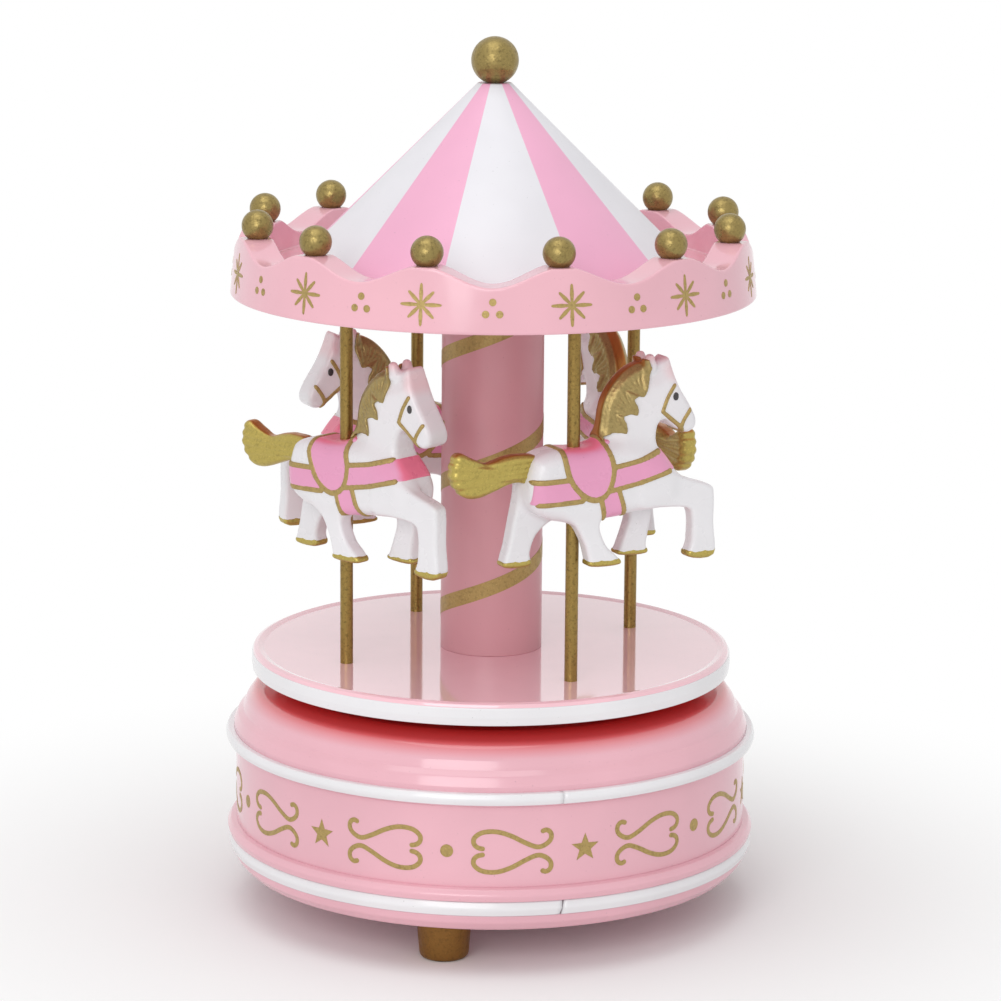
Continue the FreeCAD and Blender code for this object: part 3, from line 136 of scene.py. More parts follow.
class CarouselStage(PropertyGroup):
    ambient: light("Room light", "Strength of the white room", 0.68)
    top_power: light("Top lamp", "Soft lamp above the object", 1.8, "POWER")
    front_power: light("Front lamp", "Soft lamp left of the camera", 2.6, "POWER")
    floor: colour("Floor", "Pale floor", (0.93, 0.93, 0.93))


# Making meshes

def new_mesh(name, points, faces, finishes, carving=False, flat=False):
    """A mesh from points in millimetres, with its faces turned outwards. A carving is relaxed a little."""
    mesh = bpy.data.meshes.new(name)
    mesh.from_pydata((np.array(points, float) * MM).tolist(), [], faces)
    for finish in finishes:
        mesh.materials.append(FINISHES[finish])
    work = bmesh.new()
    work.from_mesh(mesh)
    if not carving:
        bmesh.ops.remove_doubles(work, verts=work.verts, dist=WELD)
    bmesh.ops.recalc_face_normals(work, faces=work.faces)
    if carving:
        bmesh.ops.smooth_vert(work, verts=work.verts, factor=0.5, use_axis_x=True, use_axis_y=True,
                              use_axis_z=True)
    work.to_mesh(mesh)
    work.free()
    mesh.polygons.foreach_set("use_smooth", [not flat] * len(mesh.polygons))
    return mesh


def show(name, mesh, body, stands_for=(), place=None):
    """Puts a mesh in the scene as a piece of a CAD body."""
    thing = bpy.data.objects.new(name, mesh)
    bpy.context.scene.collection.objects.link(thing)
    if place is not None:
        thing.matrix_world = place
    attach(thing, body)
    if stands_for:
        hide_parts(*stands_for)
    return thing


def piece(name, shape, finish, body, stands_for=(), flat=False):
    """A piece made of (points, faces), riding on a CAD body, in one finish or several."""
    finishes = finish if isinstance(finish, tuple) else (finish,)
    return show(name, new_mesh(name, *shape, finishes, flat=flat), body, stands_for)


def rounded(corners, closed=True):
    """Profile points in which each corner (radius, height, rounding) is a soft curve."""
    points = []
    last = len(corners) - 1
    for number, (radius, height, rounding) in enumerate(corners):
        here = Vector((radius, height))
        if rounding == 0.0 or (not closed and number in (0, last)):
            points.append((radius, height))
            continue
        before = Vector(corners[number - 1][:2]) - here
        after = Vector(corners[(number + 1) % len(corners)][:2]) - here
        reach = min(rounding / math.tan(before.angle(after) / 2), CORNER_SHARE * before.length,
                    CORNER_SHARE * after.length)
        start = here + before.normalized() * reach
        end = here + after.normalized() * reach
        for step in range(CORNER_STEPS + 1):
            done = step / CORNER_STEPS
            spot = start * (1 - done) ** 2 + here * 2 * done * (1 - done) + end * done ** 2
            points.append((spot.x, spot.y))
    return guarded(points, closed)


def guarded(points, closed):
    """Adds points close to the ends of straight runs, so that flat faces shade flat."""
    result = []
    for number, start in enumerate(points):
        result.append(start)
        if not closed and number == len(points) - 1:
            break
        end = points[(number + 1) % len(points)]
        run = math.dist(start, end)
        if run > 4 * GUARD:
            for done in (GUARD / run, 1 - GUARD / run):
                result.append(tuple(a + (b - a) * done for a, b in zip(start, end)))
    return result


def around(radius, angle, height):
    """The spot at an angle in radians from the front, about the Z axis."""
    return radius * math.sin(angle), -radius * math.cos(angle), height


def turned(profile, closed=True, steps=TURN_STEPS):
    """Points and faces of a profile turned about the Z axis."""
    points = [around(radius, 2 * math.pi * step / steps, height)
              for step in range(steps) for radius, height in profile]
    return points, tube_faces(steps, len(profile), True, closed)


def tube_faces(rows, columns, rows_closed, columns_closed):
    """Quads between the rows of a grid of points."""
    faces = []
    for row in range(rows if rows_closed else rows - 1):
        for column in range(columns if columns_closed else columns - 1):
            next_row = (row + 1) % rows
            next_column = (column + 1) % columns
            faces.append((row * columns + column, row * columns + next_column,
                          next_row * columns + next_column, next_row * columns + column))
    return faces


def strip_faces(rows, columns):
    """Faces of a bent strip with closed ends."""
    ends = [tuple(range(columns)), tuple(range((rows - 1) * columns, rows * columns))]
    return tube_faces(rows, columns, False, True) + ends


def shifted(shape, x, y):
    """A shape moved sideways."""
    points, faces = shape
    return [(px + x, py + y, pz) for px, py, pz in points], faces


def node_middle(node):
    """Middle of a CAD node in millimetres."""
    low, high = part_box(node)
    return [(a + b) / 2 / MM for a, b in zip(low, high)]


def smooth_line(points, per_span=8, closed=False):
    """A smooth line through given points."""
    count = len(points)
    line = []
    for span in range(count if closed else count - 1):
        near = [number % count if closed else min(max(number, 0), count - 1)
                for number in range(span - 1, span + 3)]
        p0, p1, p2, p3 = (np.array(points[number], float) for number in near)
        for step in range(per_span):
            t = step / per_span
            spot = 0.5 * (2 * p1 + (p2 - p0) * t + (2 * p0 - 5 * p1 + 4 * p2 - p3) * t * t
                          + (3 * p1 - p0 - 3 * p2 + p3) * t ** 3)
            line.append(tuple(spot))
    if not closed:
        line.append(tuple(points[-1]))
    return line


# Prints: flat shapes in (along, up), thickened and wrapped around a turned wall

STROKE_STEP = 0.3
STROKE_LOOK = 0.05
STROKE_TIP = 0.02
STAR_WAIST = 0.42
SLANTED_RAY = 0.88
RAY_VALLEY = 0.72
RAY = ((0.55, -0.40), (0.93, -0.26), (1.0, -0.1), (1.0, 0.1), (0.93, 0.26), (0.55, 0.40))
SCROLL_HALF = [
    (2.5, 3.85), (1.4, 4.25), (0.5, 3.6), (0.5, 2.3), (1.6, 1.25), (3.2, 0.85), (5.5, 1.75), (8.4, 3.25),
    (11.2, 4.1), (13.9, 3.95), (15.5, 2.9), (15.7, 1.7), (14.9, 0.85), (13.5, 0.55),
]
SCROLL_LENGTH = 16.8


def stroke(line, width):
    """A line drawn with round ends."""
    spots = np.array(line, float)
    walked = np.concatenate([[0.0], np.cumsum(np.linalg.norm(np.diff(spots, axis=0), axis=1))])
    total = walked[-1]
    half = width / 2

    def at(station):
        return np.array([np.interp(station, walked, spots[:, axis]) for axis in (0, 1)])

    ends = [half * (1 - math.cos(math.radians(degrees))) for degrees in (0, 20, 40, 60, 80)]
    between = list(np.arange(half, total - half, STROKE_STEP))
    stations = sorted(ends + between + [total - end for end in ends])
    points = []
    for station in stations:
        way = at(min(station + STROKE_LOOK, total)) - at(max(station - STROKE_LOOK, 0))
        way = way / np.linalg.norm(way)
        from_end = min(station, total - station)
        here = half
        if from_end < half:
            here = math.sqrt(max(half ** 2 - (half - from_end) ** 2, STROKE_TIP ** 2))
        side = here * np.array([-way[1], way[0]])
        points += [tuple(at(station) + side), tuple(at(station) - side)]
    faces = [(2 * row, 2 * row + 1, 2 * row + 3, 2 * row + 2) for row in range(len(stations) - 1)]
    return points, faces


def fan(outline):
    """A star-shaped outline filled from its middle."""
    count = len(outline)
    faces = [(0, 1 + step, 1 + (step + 1) % count) for step in range(count)]
    return [(0.0, 0.0)] + outline, faces


def polar(radius, degrees):
    angle = math.radians(degrees)
    return radius * math.cos(angle), radius * math.sin(angle)


def dot_shape(radius):
    return fan([polar(radius, degrees) for degrees in range(0, 360, 15)])


def five_point_star(radius):
    return fan([polar(STAR_WAIST * radius if corner % 2 else radius, 90 + 36 * corner)
                for corner in range(10)])


def ray_star(reach):
    """Eight slim rays, the slanted ones a little shorter."""
    outline = []
    for ray in range(8):
        far = SLANTED_RAY * reach if ray % 2 else reach
        way = np.array(polar(1.0, 45 * ray))
        side = np.array([-way[1], way[0]])
        outline.append(polar(RAY_VALLEY, 45 * ray - 22.5))
        outline += [tuple(way * along * far + side * across) for along, across in RAY]
    return fan(outline)


def heart_scroll(width, way):
    """Two mirrored S-curves: a heart that lies on its side, with curled tails."""
    return [stroke([(way * (along - SCROLL_LENGTH / 2), up * height)
                    for along, height in smooth_line(SCROLL_HALF)], width) for up in (1, -1)]


def printed(shapes, wall_radius, lift):
    """Thickens flat shapes and wraps them on a wall. Each shape is (angle, height, points, faces)."""
    points = []
    faces = []
    for angle, height, flat_points, flat_faces in shapes:
        first = len(points)
        count = len(flat_points)
        for level in (-PRINT_SINK, lift):
            for along, up in flat_points:
                turn = math.radians(angle) + along / wall_radius(height)
                points.append(around(wall_radius(height + up) + level, turn, height + up))
        edges = {}
        for face in flat_faces:
            faces.append(tuple(first + index for index in reversed(face)))
            faces.append(tuple(first + count + index for index in face))
            edges.update(dict.fromkeys(zip(face, face[1:] + face[:1])))
        for start, end in edges:
            if (end, start) not in edges:
                faces.append((first + start, first + end, first + count + end, first + count + start))
    return points, faces


# Carving: shapes from distance fields, for the horses

def line_distance(line, u, v):
    """Distance to an open line in the plane."""
    best = np.full(u.shape, FAR)
    for (x0, y0), (x1, y1) in zip(line, line[1:]):
        ex, ey = x1 - x0, y1 - y0
        along = np.clip(((u - x0) * ex + (v - y0) * ey) / (ex * ex + ey * ey), 0, 1)
        best = np.minimum(best, (u - x0 - along * ex) ** 2 + (v - y0 - along * ey) ** 2)
    return np.sqrt(best)


def nearest_line(lines, u, v):
    """Distance to the nearest of some lines."""
    return np.min([line_distance(line, u, v) for line in lines], axis=0)


def outline_distance(outline, u, v):
    """Distance to a closed outline in the plane, negative inside."""
    ring = outline + outline[:1]
    inside = np.zeros(u.shape, bool)
    for (x0, y0), (x1, y1) in zip(ring, ring[1:]):
        slope = (x1 - x0) / (y1 - y0) if abs(y1 - y0) > 1e-9 else 0.0
        inside ^= ((y0 <= v) != (y1 <= v)) & (u < x0 + (v - y0) * slope)
    return np.where(inside, -1.0, 1.0) * line_distance(ring, u, v)


def smooth_outline(outline, u, v, per_span=6):
    """Distance to a closed outline that is smoothed first."""
    return outline_distance(smooth_line(outline, per_span, closed=True), u, v)


def slab(flat, across, half_width, rounding):
    """A flat shape thickened sideways, with rounded edges."""
    out = np.abs(across) - (half_width - rounding)
    along = flat[:, None, :] + rounding
    return (np.minimum(np.maximum(along, out), 0) + np.hypot(np.maximum(along, 0), np.maximum(out, 0))
            - rounding)


def melt(first, second, reach):
    """Union of two fields with a soft inner corner."""
    mix = np.maximum(reach - np.abs(first - second), 0) / reach
    return np.minimum(first, second) - mix * mix * reach / 4


def rod(x, y, z, first, second):
    """A round rod between two stations (x, y, z, radius)."""
    way = np.subtract(second, first)
    offset = [axis - start for axis, start in zip((x, y, z), first)]
    along = np.clip(sum(a * b for a, b in zip(offset, way)) / way[:3].dot(way[:3]), 0, 1)
    gap = np.sqrt(sum((a - along * b) ** 2 for a, b in zip(offset, way)))
    return gap - first[3] - along * way[3]


def carved(name, field, lift, low, high, step, finish):
    """A mesh of quads around the zero level of a distance field."""
    axes = [np.arange(a, b + step, step) for a, b in zip(low, high)]
    values = field(*np.meshgrid(*axes, indexing="ij"), lift)
    size = values.shape
    cells = tuple(count - 1 for count in size)
    total = np.zeros(cells + (3,))
    crossings = np.zeros(cells)

    def corner(bits):
        return values[tuple(slice(bit, bit + count) for bit, count in zip(bits, cells))]

    for bits in np.ndindex(2, 2, 2):
        for axis in range(3):
            if bits[axis]:
                continue
            here = corner(bits)
            there = corner([bit + (way == axis) for way, bit in enumerate(bits)])
            cross = (here < 0) != (there < 0)
            reach = np.where(cross, here / np.where(cross, here - there, 1.0), 0.0)
            for way in range(3):
                total[..., way] += np.where(cross, bits[way] + (reach if way == axis else 0.0), 0.0)
            crossings += cross
    mixed = crossings > 0
    numbers = np.full(mixed.shape, -1)
    numbers[mixed] = np.arange(mixed.sum())
    points = (np.argwhere(mixed) + total[mixed] / crossings[mixed][:, None]) * step + np.array(low)
    faces = []
    for axis in range(3):
        at = np.argwhere(np.diff(values < 0, axis=axis))
        p, q = [other for other in range(3) if other != axis]
        inner = (at[:, p] > 0) & (at[:, q] > 0) & (at[:, p] < size[p] - 1) & (at[:, q] < size[q] - 1)
        at = at[inner]
        quad = []
        for back_p, back_q in ((0, 0), (1, 0), (1, 1), (0, 1)):
            cell = at.copy()
            cell[:, p] -= back_p
            cell[:, q] -= back_q
            quad.append(numbers[tuple(cell.T)])
        faces.extend(np.stack(quad, 1).tolist())
    return new_mesh(name, points, faces, (finish,), carving=True)


# Materials

COAT_ROUGHNESS = 0.06
# sockets of a colour mix, whose names repeat
MIX_FACTOR, MIX_UNDER, MIX_OVER, MIX_RESULT = 0, 6, 7, 2
# name, smallest and largest roughness, clear coat
PLASTICS = {
    "pink": ("pink_gloss_plastic", 0.10, 0.20, 0.3),
    "column": ("column_pink_satin", 0.30, 0.42, 0.0),
    "table": ("table_pink_polished", 0.05, 0.10, 1.0),
    "roof_pink": ("roof_pink_satin", 0.34, 0.46, 0.0),
    "roof_white": ("roof_white_satin", 0.34, 0.46, 0.0),
    "white": ("white_gloss_plastic", 0.14, 0.26, 0.3),
    "horse": ("horse_white_plastic", 0.22, 0.34, 0.1),
    "saddle": ("saddle_pink_paint", 0.26, 0.38, 0.1),
    "eye": ("eye_dark_paint", 0.20, 0.35, 0.3),
    "nylon": ("gear_nylon", 0.36, 0.50, 0.0),
}
# name, tone of the dark specks and the bright flakes, smallest and largest roughness, metallic
GOLDS = {
    "gold_paint": ("gold_ball_paint", 0.62, 1.5, 0.26, 0.45, 0.85),
    "hair": ("gold_tail_paint", 0.75, 1.35, 0.28, 0.42, 0.7),
    "mane": ("gold_mane_paint", 0.75, 1.35, 0.28, 0.42, 0.7),
    "gold_print": ("gold_print_ink", 0.7, 1.35, 0.38, 0.55, 0.45),
    "pole": ("pole_dark_gold", 0.55, 1.5, 0.30, 0.46, 0.8),
    "foot": ("foot_brown_gold", 0.7, 1.3, 0.32, 0.5, 0.6),
}
# name, colour, roughness, stretch of the tool marks, marks in a millimetre
METALS = {
    "steel": ("turned_steel", (0.56, 0.56, 0.57), 0.24, (1.0, 1.0, 6.0), 0.5),
    "brass": ("turned_brass", (0.70, 0.50, 0.20), 0.24, (1.0, 1.0, 5.0), 0.5),
    "cast": ("cast_zinc", (0.50, 0.50, 0.51), 0.42, (1.0, 1.0, 1.0), 0.8),
}
# finish, value that its meshes carry, colour that is laid over it there
SHADES = (
    # the pink and table rows lay a painted red shade into the gap under the turntable
    ("pink", "sheltered", "gap"), ("table", "sheltered", "gap"), ("mane", "edge", "hair_edge"),
    # the horse row lays pink airbrush together with painted reflection of the pink carousel
    ("hair", "edge", "hair_edge"), ("horse", "blush", "blush"), ("saddle", "facing_out", "hot_pink"),
)
SLOT_FINISH = {
    "pink_plastic": "pink", "striped_plastic": "roof_white", "white_plastic": "white",
    "horse_plastic": "horse", "gold_plastic": "gold_paint", "gold_metal": "pole", "steel": "steel",
    "brass": "brass", "cast_bed": "cast", "gear_plastic": "nylon",
}


def add_node(tree, kind, inputs=(), **settings):
    """A shader node. Each of its inputs gets a constant or a link from another node's socket."""
    node = tree.nodes.new("ShaderNode" + kind)
    for name, value in settings.items():
        setattr(node, name, value)
    for socket, value in dict(inputs).items():
        if isinstance(value, NodeSocket):
            tree.links.new(value, node.inputs[socket])
        else:
            node.inputs[socket].default_value = value
    return node


def shader_input(material, socket):
    return material.node_tree.nodes["Principled BSDF"].inputs[socket]


def plain_material(name, base, roughness, metallic=0.0, coat=0.0):
    material = bpy.data.materials.new(name)
    material.use_nodes = True
    for socket, value in (("Base Color", (*base, 1.0)), ("Roughness", roughness), ("Metallic", metallic),
                          ("Coat Weight", coat), ("Coat Roughness", COAT_ROUGHNESS)):
        shader_input(material, socket).default_value = value
    return material


def grain(material, per_mm, detail, stretch=(1.0, 1.0, 1.0), low=0.35, high=0.65):
    """Noise in the frame of the object, spread over 0 to 1."""
    tree = material.node_tree
    spots = add_node(tree, "TexCoord").outputs["Object"]
    mapping = add_node(tree, "Mapping", {"Vector": spots, "Scale": stretch})
    noise = add_node(tree, "TexNoise", {"Vector": mapping.outputs["Vector"], "Scale": per_mm / MM,
                                        "Detail": detail})
    spread = add_node(tree, "MapRange", {"Value": noise.outputs["Fac"], "From Min": low, "From Max": high})
    return spread.outputs["Result"]


def layer_colour(material, factor, over):
    """Lays another colour over the base colour by a varying factor."""
    tree = material.node_tree
    target = shader_input(material, "Base Color")
    under = target.links[0].from_socket if target.is_linked else target.default_value
    mix = add_node(tree, "Mix", {MIX_FACTOR: factor, MIX_UNDER: under, MIX_OVER: (*over, 1.0)},
                   data_type="RGBA")
    tree.links.new(mix.outputs[MIX_RESULT], target)


def vary_roughness(material, factor, low, high):
    spread = add_node(material.node_tree, "MapRange", {"Value": factor, "To Min": low, "To Max": high})
    material.node_tree.links.new(spread.outputs["Result"], shader_input(material, "Roughness"))


def add_bump(material, factor, depth_mm, strength):
    bump = add_node(material.node_tree, "Bump", {"Height": factor, "Distance": depth_mm * MM,
                                                 "Strength": strength})
    material.node_tree.links.new(bump.outputs["Normal"], shader_input(material, "Normal"))


def toned(base, factor):
    return tuple(min(value * factor, 1.0) for value in base)


def moulded_plastic(name, base, low, high, coat):
    """Moulded plastic: faint flow marks, a little haze and a soft ripple."""
    material = plain_material(name, base, low, coat=coat)
    layer_colour(material, grain(material, 0.035, 3.0), toned(base, 0.93))
    layer_colour(material, grain(material, 2.2, 2.0, low=0.72, high=0.78), toned(base, 0.72))
    vary_roughness(material, grain(material, 0.12, 4.0), low, high)
    add_bump(material, grain(material, 0.04, 1.0), 0.05, 0.10)
    return material


def brushed_gold(name, base, speck, flake, low, high, metallic):
    """Gold paint with bright flakes and dark specks."""
    material = plain_material(name, base, low, metallic)
    layer_colour(material, grain(material, 1.8, 4.0, low=0.50, high=0.72), toned(base, speck))
    layer_colour(material, grain(material, 2.2 * 1.8, 3.0, low=0.60, high=0.72), toned(base, flake))
    vary_roughness(material, grain(material, 0.6, 5.0), low, high)
    add_bump(material, grain(material, 1.6, 4.0), 0.05, 0.5)
    return material


def worked_metal(name, base, roughness, stretch, per_mm):
    """Metal with fine tool marks."""
    material = plain_material(name, base, roughness, 1.0)
    marks = grain(material, per_mm, 6.0, stretch)
    layer_colour(material, marks, toned(base, 0.72))
    vary_roughness(material, marks, roughness, roughness + 0.18)
    add_bump(material, marks, 0.02, 0.4)
    return material


def make_materials():
    """Puts every finish of the music box in FINISHES."""
    colours = bpy.context.scene.carousel_colours
    for table, make in ((PLASTICS, moulded_plastic), (GOLDS, brushed_gold)):
        for finish, (name, *looks) in table.items():
            FINISHES[finish] = make(name, tuple(getattr(colours, finish)), *looks)
    for finish, looks in METALS.items():
        FINISHES[finish] = worked_metal(*looks)
    for finish, attribute, over in SHADES:
        material = FINISHES[finish]
        carried = add_node(material.node_tree, "Attribute", attribute_name=attribute)
        layer_colour(material, carried.outputs["Fac"], tuple(getattr(colours, over)))


# Profiles of the turned pieces: (radius, height, rounding), in millimetres

TRAY = [
    (4.6, 9.0, 0.3), (51.4, 9.0, 1.6), (53.2, 11.0, 1.6), (53.6, 12.6, 0.3), (53.0, 12.6, 0.0),
    (53.0, 15.7, 0.0), (54.4, 15.7, 0.25), (54.75, 17.0, 0.8), (54.0, 18.1, 0.6), (52.9, 18.3, 0.3),
    (50.2, 18.3, 0.0), (50.2, 20.2, 0.2), (48.6, 20.2, 0.2), (48.6, 11.2, 0.5), (4.6, 11.2, 0.3),
]
WALL_RADIUS = 52.8
WALL = [(50.3, 18.2, 0.2), (WALL_RADIUS, 18.2, 0.0), (WALL_RADIUS, 34.8, 0.25), (50.3, 34.8, 0.2)]
COVER = [
    (4.5, 47.6, 0.2), (4.5, 45.2, 0.2), (41.6, 45.2, 2.0), (48.6, 41.0, 3.0), (48.6, 32.8, 0.2),
    (50.2, 32.8, 0.2), (50.2, 34.8, 0.0), (53.2, 34.8, 0.2), (53.2, 38.7, 0.5), (52.4, 40.6, 1.2),
    (51.3, 41.6, 0.35), (51.15, 42.1, 0.2), (50.6, 43.4, 1.6), (48.6, 46.2, 3.2), (43.4, 47.6, 4.0),
]
TURNTABLE = [
    (2.5, 50.0, 0.0), (48.6, 50.0, 0.0), (48.6, 53.6, 0.0), (49.3, 53.6, 0.15), (49.05, 54.3, 0.3),
    (48.2, 54.6, 0.4), (47.3, 54.35, 0.35), (46.9, 54.2, 0.4), (2.5, 54.2, 0.0),
]
TURNTABLE_BAND = [
    (48.6, 50.0, 0.0), (49.3, 50.0, 0.35), (49.5, 51.6, 0.8), (49.4, 53.65, 0.25), (48.6, 53.65, 0.0),
]
COLUMN_RADIUS = 10.45
POLE_RADIUS = 1.3
COLUMN = [
    (8.0, 54.2, 0.0), (COLUMN_RADIUS, 54.2, 0.15), (COLUMN_RADIUS, 129.6, 0.15), (8.0, 129.6, 0.0),
]
CEILING = [(0.0, 129.6, 0.0), (44.8, 129.6, 0.3), (44.8, 132.6, 0.2), (0.0, 132.6, 0.0)]
FOOT = [
    (0.0, 0.0, 0.0), (4.9, 0.0, 1.3), (5.3, 5.0, 4.0), (5.5, 9.05, 0.2), (2.5, 9.05, 0.0), (2.5, 11.2, 0.1),
    (0.0, 11.2, 0.0),
]
# white bands: node, section, gap of the joint, unevenness of its ends
BANDS = (
    ("lower_band", (53.0, 12.65, 15.65, 54.55), 0.30, 0.2),
    ("upper_band", (53.2, 35.3, 37.7, 55.0), 0.05, 0.05),
)
# angle at which the ends of both bands meet
BAND_JOINT = 15.5
# heights between which the pink faces stand in the gap, and between which the painted red shade of the gap
# grows to full
GAP_LOW, GAP_HIGH = 40.0, 50.5
GAP_SHADE_FROM, GAP_SHADE_FULL = 43.2, 47.3
# row of prints on the base wall: angles in degrees from the front
PRINT_ROW = 25.55
PRINT_REPEATS = 6
WALL_STAR, WALL_STAR_RADIUS = 21.0, 3.0
SCROLL_OFFSET, DOT_OFFSET = 16.3, 30.0
# ends of the ribbon on the column, and its height at the front
RIBBON_LOW, RIBBON_HIGH = 54.35, 129.5
RIBBON_FRONT = 68.7
RIBBON_STEPS = 72
RIBBON_NARROWEST = 0.02


def band_section(seat, low, high, outer):
    """Section of a band with a rounded outside."""
    return rounded([(seat, low, 0.1), (outer - 0.5, low, 0.5), (outer, (low + high) / 2, 1.2),
                    (outer - 0.5, high, 0.5), (seat, high, 0.1)])


def bent_band(section, gap, uneven):
    """A strip bent to a ring. Its ends meet in a butt joint and are cut a little unevenly."""
    points = []
    rows = TURN_STEPS + 1
    middle = sum(height for radius, height in section) / len(section)
    for row in range(rows):
        done = row / (rows - 1)
        for radius, height in section:
            slant = (height - middle) * uneven
            first = gap / 2 + slant + 0.25 * uneven * math.sin(5.0 * height)
            last = 2 * math.pi * radius - gap / 2 + slant - 0.35 * uneven * math.sin(7.0 * height)
            angle = math.radians(BAND_JOINT) + (first + (last - first) * done) / radius
            points.append(around(radius, angle, height))
    return points, strip_faces(rows, len(section))


def paint_share(mesh, name, value_at):
    """Stores a value for each point of a mesh, for its material."""
    attribute = mesh.attributes.new(name, "FLOAT", "POINT")
    values = [value_at(vertex.co / MM, vertex.normal) for vertex in mesh.vertices]
    attribute.data.foreach_set("value", values)


def soft_step(low, high, value):
    done = min(max((value - low) / (high - low), 0.0), 1.0)
    return done * done * (3 - 2 * done)


def painted_gap_shade_at(spot, normal):
    """Painted shade: 1 in the narrow gap under the turntable, where light that goes from pink to pink turns
    red.
    """
    if spot.z > GAP_HIGH or spot.z < GAP_LOW:
        return 0.0
    return soft_step(GAP_SHADE_FROM, GAP_SHADE_FULL, spot.z)


class CAROUSEL_OT_base(Operator):
    """Tray, wall, cover and the two white bands of the base"""
    bl_idname = "carousel.base"
    bl_label = "Base"

    def execute(self, context):
        for name, profile, node in (("tray_moulding", TRAY, "bottom_tray"),
                                    ("wall_moulding", WALL, "base_wall"),
                                    ("cover_moulding", COVER, "top_cover")):
            moulding = piece(name, turned(rounded(profile)), "pink", "base", (node,))
            # painted shade: marks where the red shade of the gap under the turntable is painted
            paint_share(moulding.data, "sheltered", painted_gap_shade_at)
        for node, section, gap, uneven in BANDS:
            strip = bent_band(band_section(*section), gap, uneven)
            piece(f"{node}_strip", strip, "white", "base", (node,))
        return {"FINISHED"}


class CAROUSEL_OT_feet(Operator):
    """Three turned feet"""
    bl_idname = "carousel.feet"
    bl_label = "Feet"

    def execute(self, context):
        turning = turned(rounded(FOOT, closed=False), closed=False, steps=96)
        for number in (1, 2, 3):
            node = f"foot_{number}"
            x, y, _ = node_middle(node)
            piece(f"{node}_turning", shifted(turning, x, y), "foot", "base", (node,))
        return {"FINISHED"}


class CAROUSEL_OT_wall_prints(Operator):
    """Row of hearts, stars and dots printed on the base wall"""
    bl_idname = "carousel.wall_prints"
    bl_label = "Wall prints"

    def execute(self, context):
        sizes = context.scene.carousel_sizes
        shapes = []
        for repeat in range(PRINT_REPEATS):
            star = WALL_STAR + 360 / PRINT_REPEATS * repeat
            shapes.append((star, PRINT_ROW, *five_point_star(WALL_STAR_RADIUS)))
            shapes.append((star + DOT_OFFSET, PRINT_ROW, *dot_shape(sizes.wall_dot_radius / MM)))
            for side in (-1, 1):
                for curve in heart_scroll(sizes.scroll_width / MM, side):
                    shapes.append((star + side * SCROLL_OFFSET, PRINT_ROW, *curve))
        prints = printed(shapes, lambda height: WALL_RADIUS, sizes.print_lift / MM)
        piece("wall_prints", prints, "gold_print", "base", flat=True)
        return {"FINISHED"}


class CAROUSEL_OT_turntable(Operator):
    """Turntable with its white edge"""
    bl_idname = "carousel.turntable"
    bl_label = "Turntable"

    def execute(self, context):
        table = piece("turntable_moulding", turned(rounded(TURNTABLE)), "table", "carousel",
                      ("turntable",))
        # painted shade: marks where the red shade of the gap under the turntable is painted
        paint_share(table.data, "sheltered", painted_gap_shade_at)
        piece("turntable_edge_strip", turned(rounded(TURNTABLE_BAND)), "white", "carousel",
              ("turntable_band",))
        return {"FINISHED"}


def wound_ribbon(pitch, half, lift):
    """A flat ribbon wound around the column and cut level at its ends."""
    inner, outer = COLUMN_RADIUS - PRINT_SINK, COLUMN_RADIUS + lift
    first_turn = (RIBBON_LOW - half - RIBBON_FRONT) / pitch
    last_turn = (RIBBON_HIGH + half - RIBBON_FRONT) / pitch
    points = []
    for step in range(int(first_turn * RIBBON_STEPS), int(last_turn * RIBBON_STEPS) + 1):
        height = RIBBON_FRONT + pitch * step / RIBBON_STEPS
        bottom = min(max(height - half, RIBBON_LOW), RIBBON_HIGH)
        top = min(max(height + half, RIBBON_LOW), RIBBON_HIGH)
        if top - bottom < RIBBON_NARROWEST:
            continue
        angle = 2 * math.pi * step / RIBBON_STEPS
        for reach, level in ((inner, bottom), (outer, bottom), (outer, top), (inner, top)):
            points.append(around(reach, angle, level))
    return points, strip_faces(len(points) // 4, 4)


class CAROUSEL_OT_column(Operator):
    """Centre column with a gold ribbon wound around it"""
    bl_idname = "carousel.column"
    bl_label = "Column"

    def execute(self, context):
        sizes = context.scene.carousel_sizes
        piece("column_tube", turned(rounded(COLUMN), steps=128), "column", "carousel",
              ("centre_column",))
        ribbon = wound_ribbon(sizes.ribbon_pitch / MM, sizes.ribbon_width / MM / 2, sizes.print_lift / MM)
        piece("column_ribbon", ribbon, "gold_print", "carousel", flat=True)
        return {"FINISHED"}


class CAROUSEL_OT_poles(Operator):
    """Four thin gold poles"""
    bl_idname = "carousel.poles"
    bl_label = "Poles"

    def execute(self, context):
        for number in (1, 2, 3, 4):
            node = f"pole_{number}"
            low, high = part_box(node)
            bottom, top = low.z / MM, high.z / MM
            x, y, _ = node_middle(node)
            profile = rounded([(0.0, bottom, 0.0), (POLE_RADIUS, bottom, 0.15), (POLE_RADIUS, top, 0.15),
                               (0.0, top, 0.0)], closed=False)
            rod = turned(profile, closed=False, steps=48)
            piece(f"{node}_rod", shifted(rod, x, y), "pole", "carousel", (node,))
        return {"FINISHED"}


# Canopy

RIM_LOW, RIM_SEAT = 128.1, 140.55
RIM_LOW_RADIUS, RIM_HIGH_RADIUS, RIM_INNER_RADIUS = 53.5, 52.2, 46.0
RIM_PEAK, RIM_VALLEY = 140.8, 137.0
SCALLOPS = 12
FIRST_PEAK = 15.0
# degrees that each printed star is off the peak above it
STAR_DRIFT = (1.6, -0.1, 0.9, 0.2, 1.3, 0.5, 1.0, -0.2, 0.8, 0.3, 1.5, 0.0)
RIM_SHELF_RADIUS, RIM_SHELF_LOW, RIM_SHELF_TOP = 34.4, 132.6, 134.0
RIM_UNDER_RADIUS = 44.9
STAR_ROW = 133.6
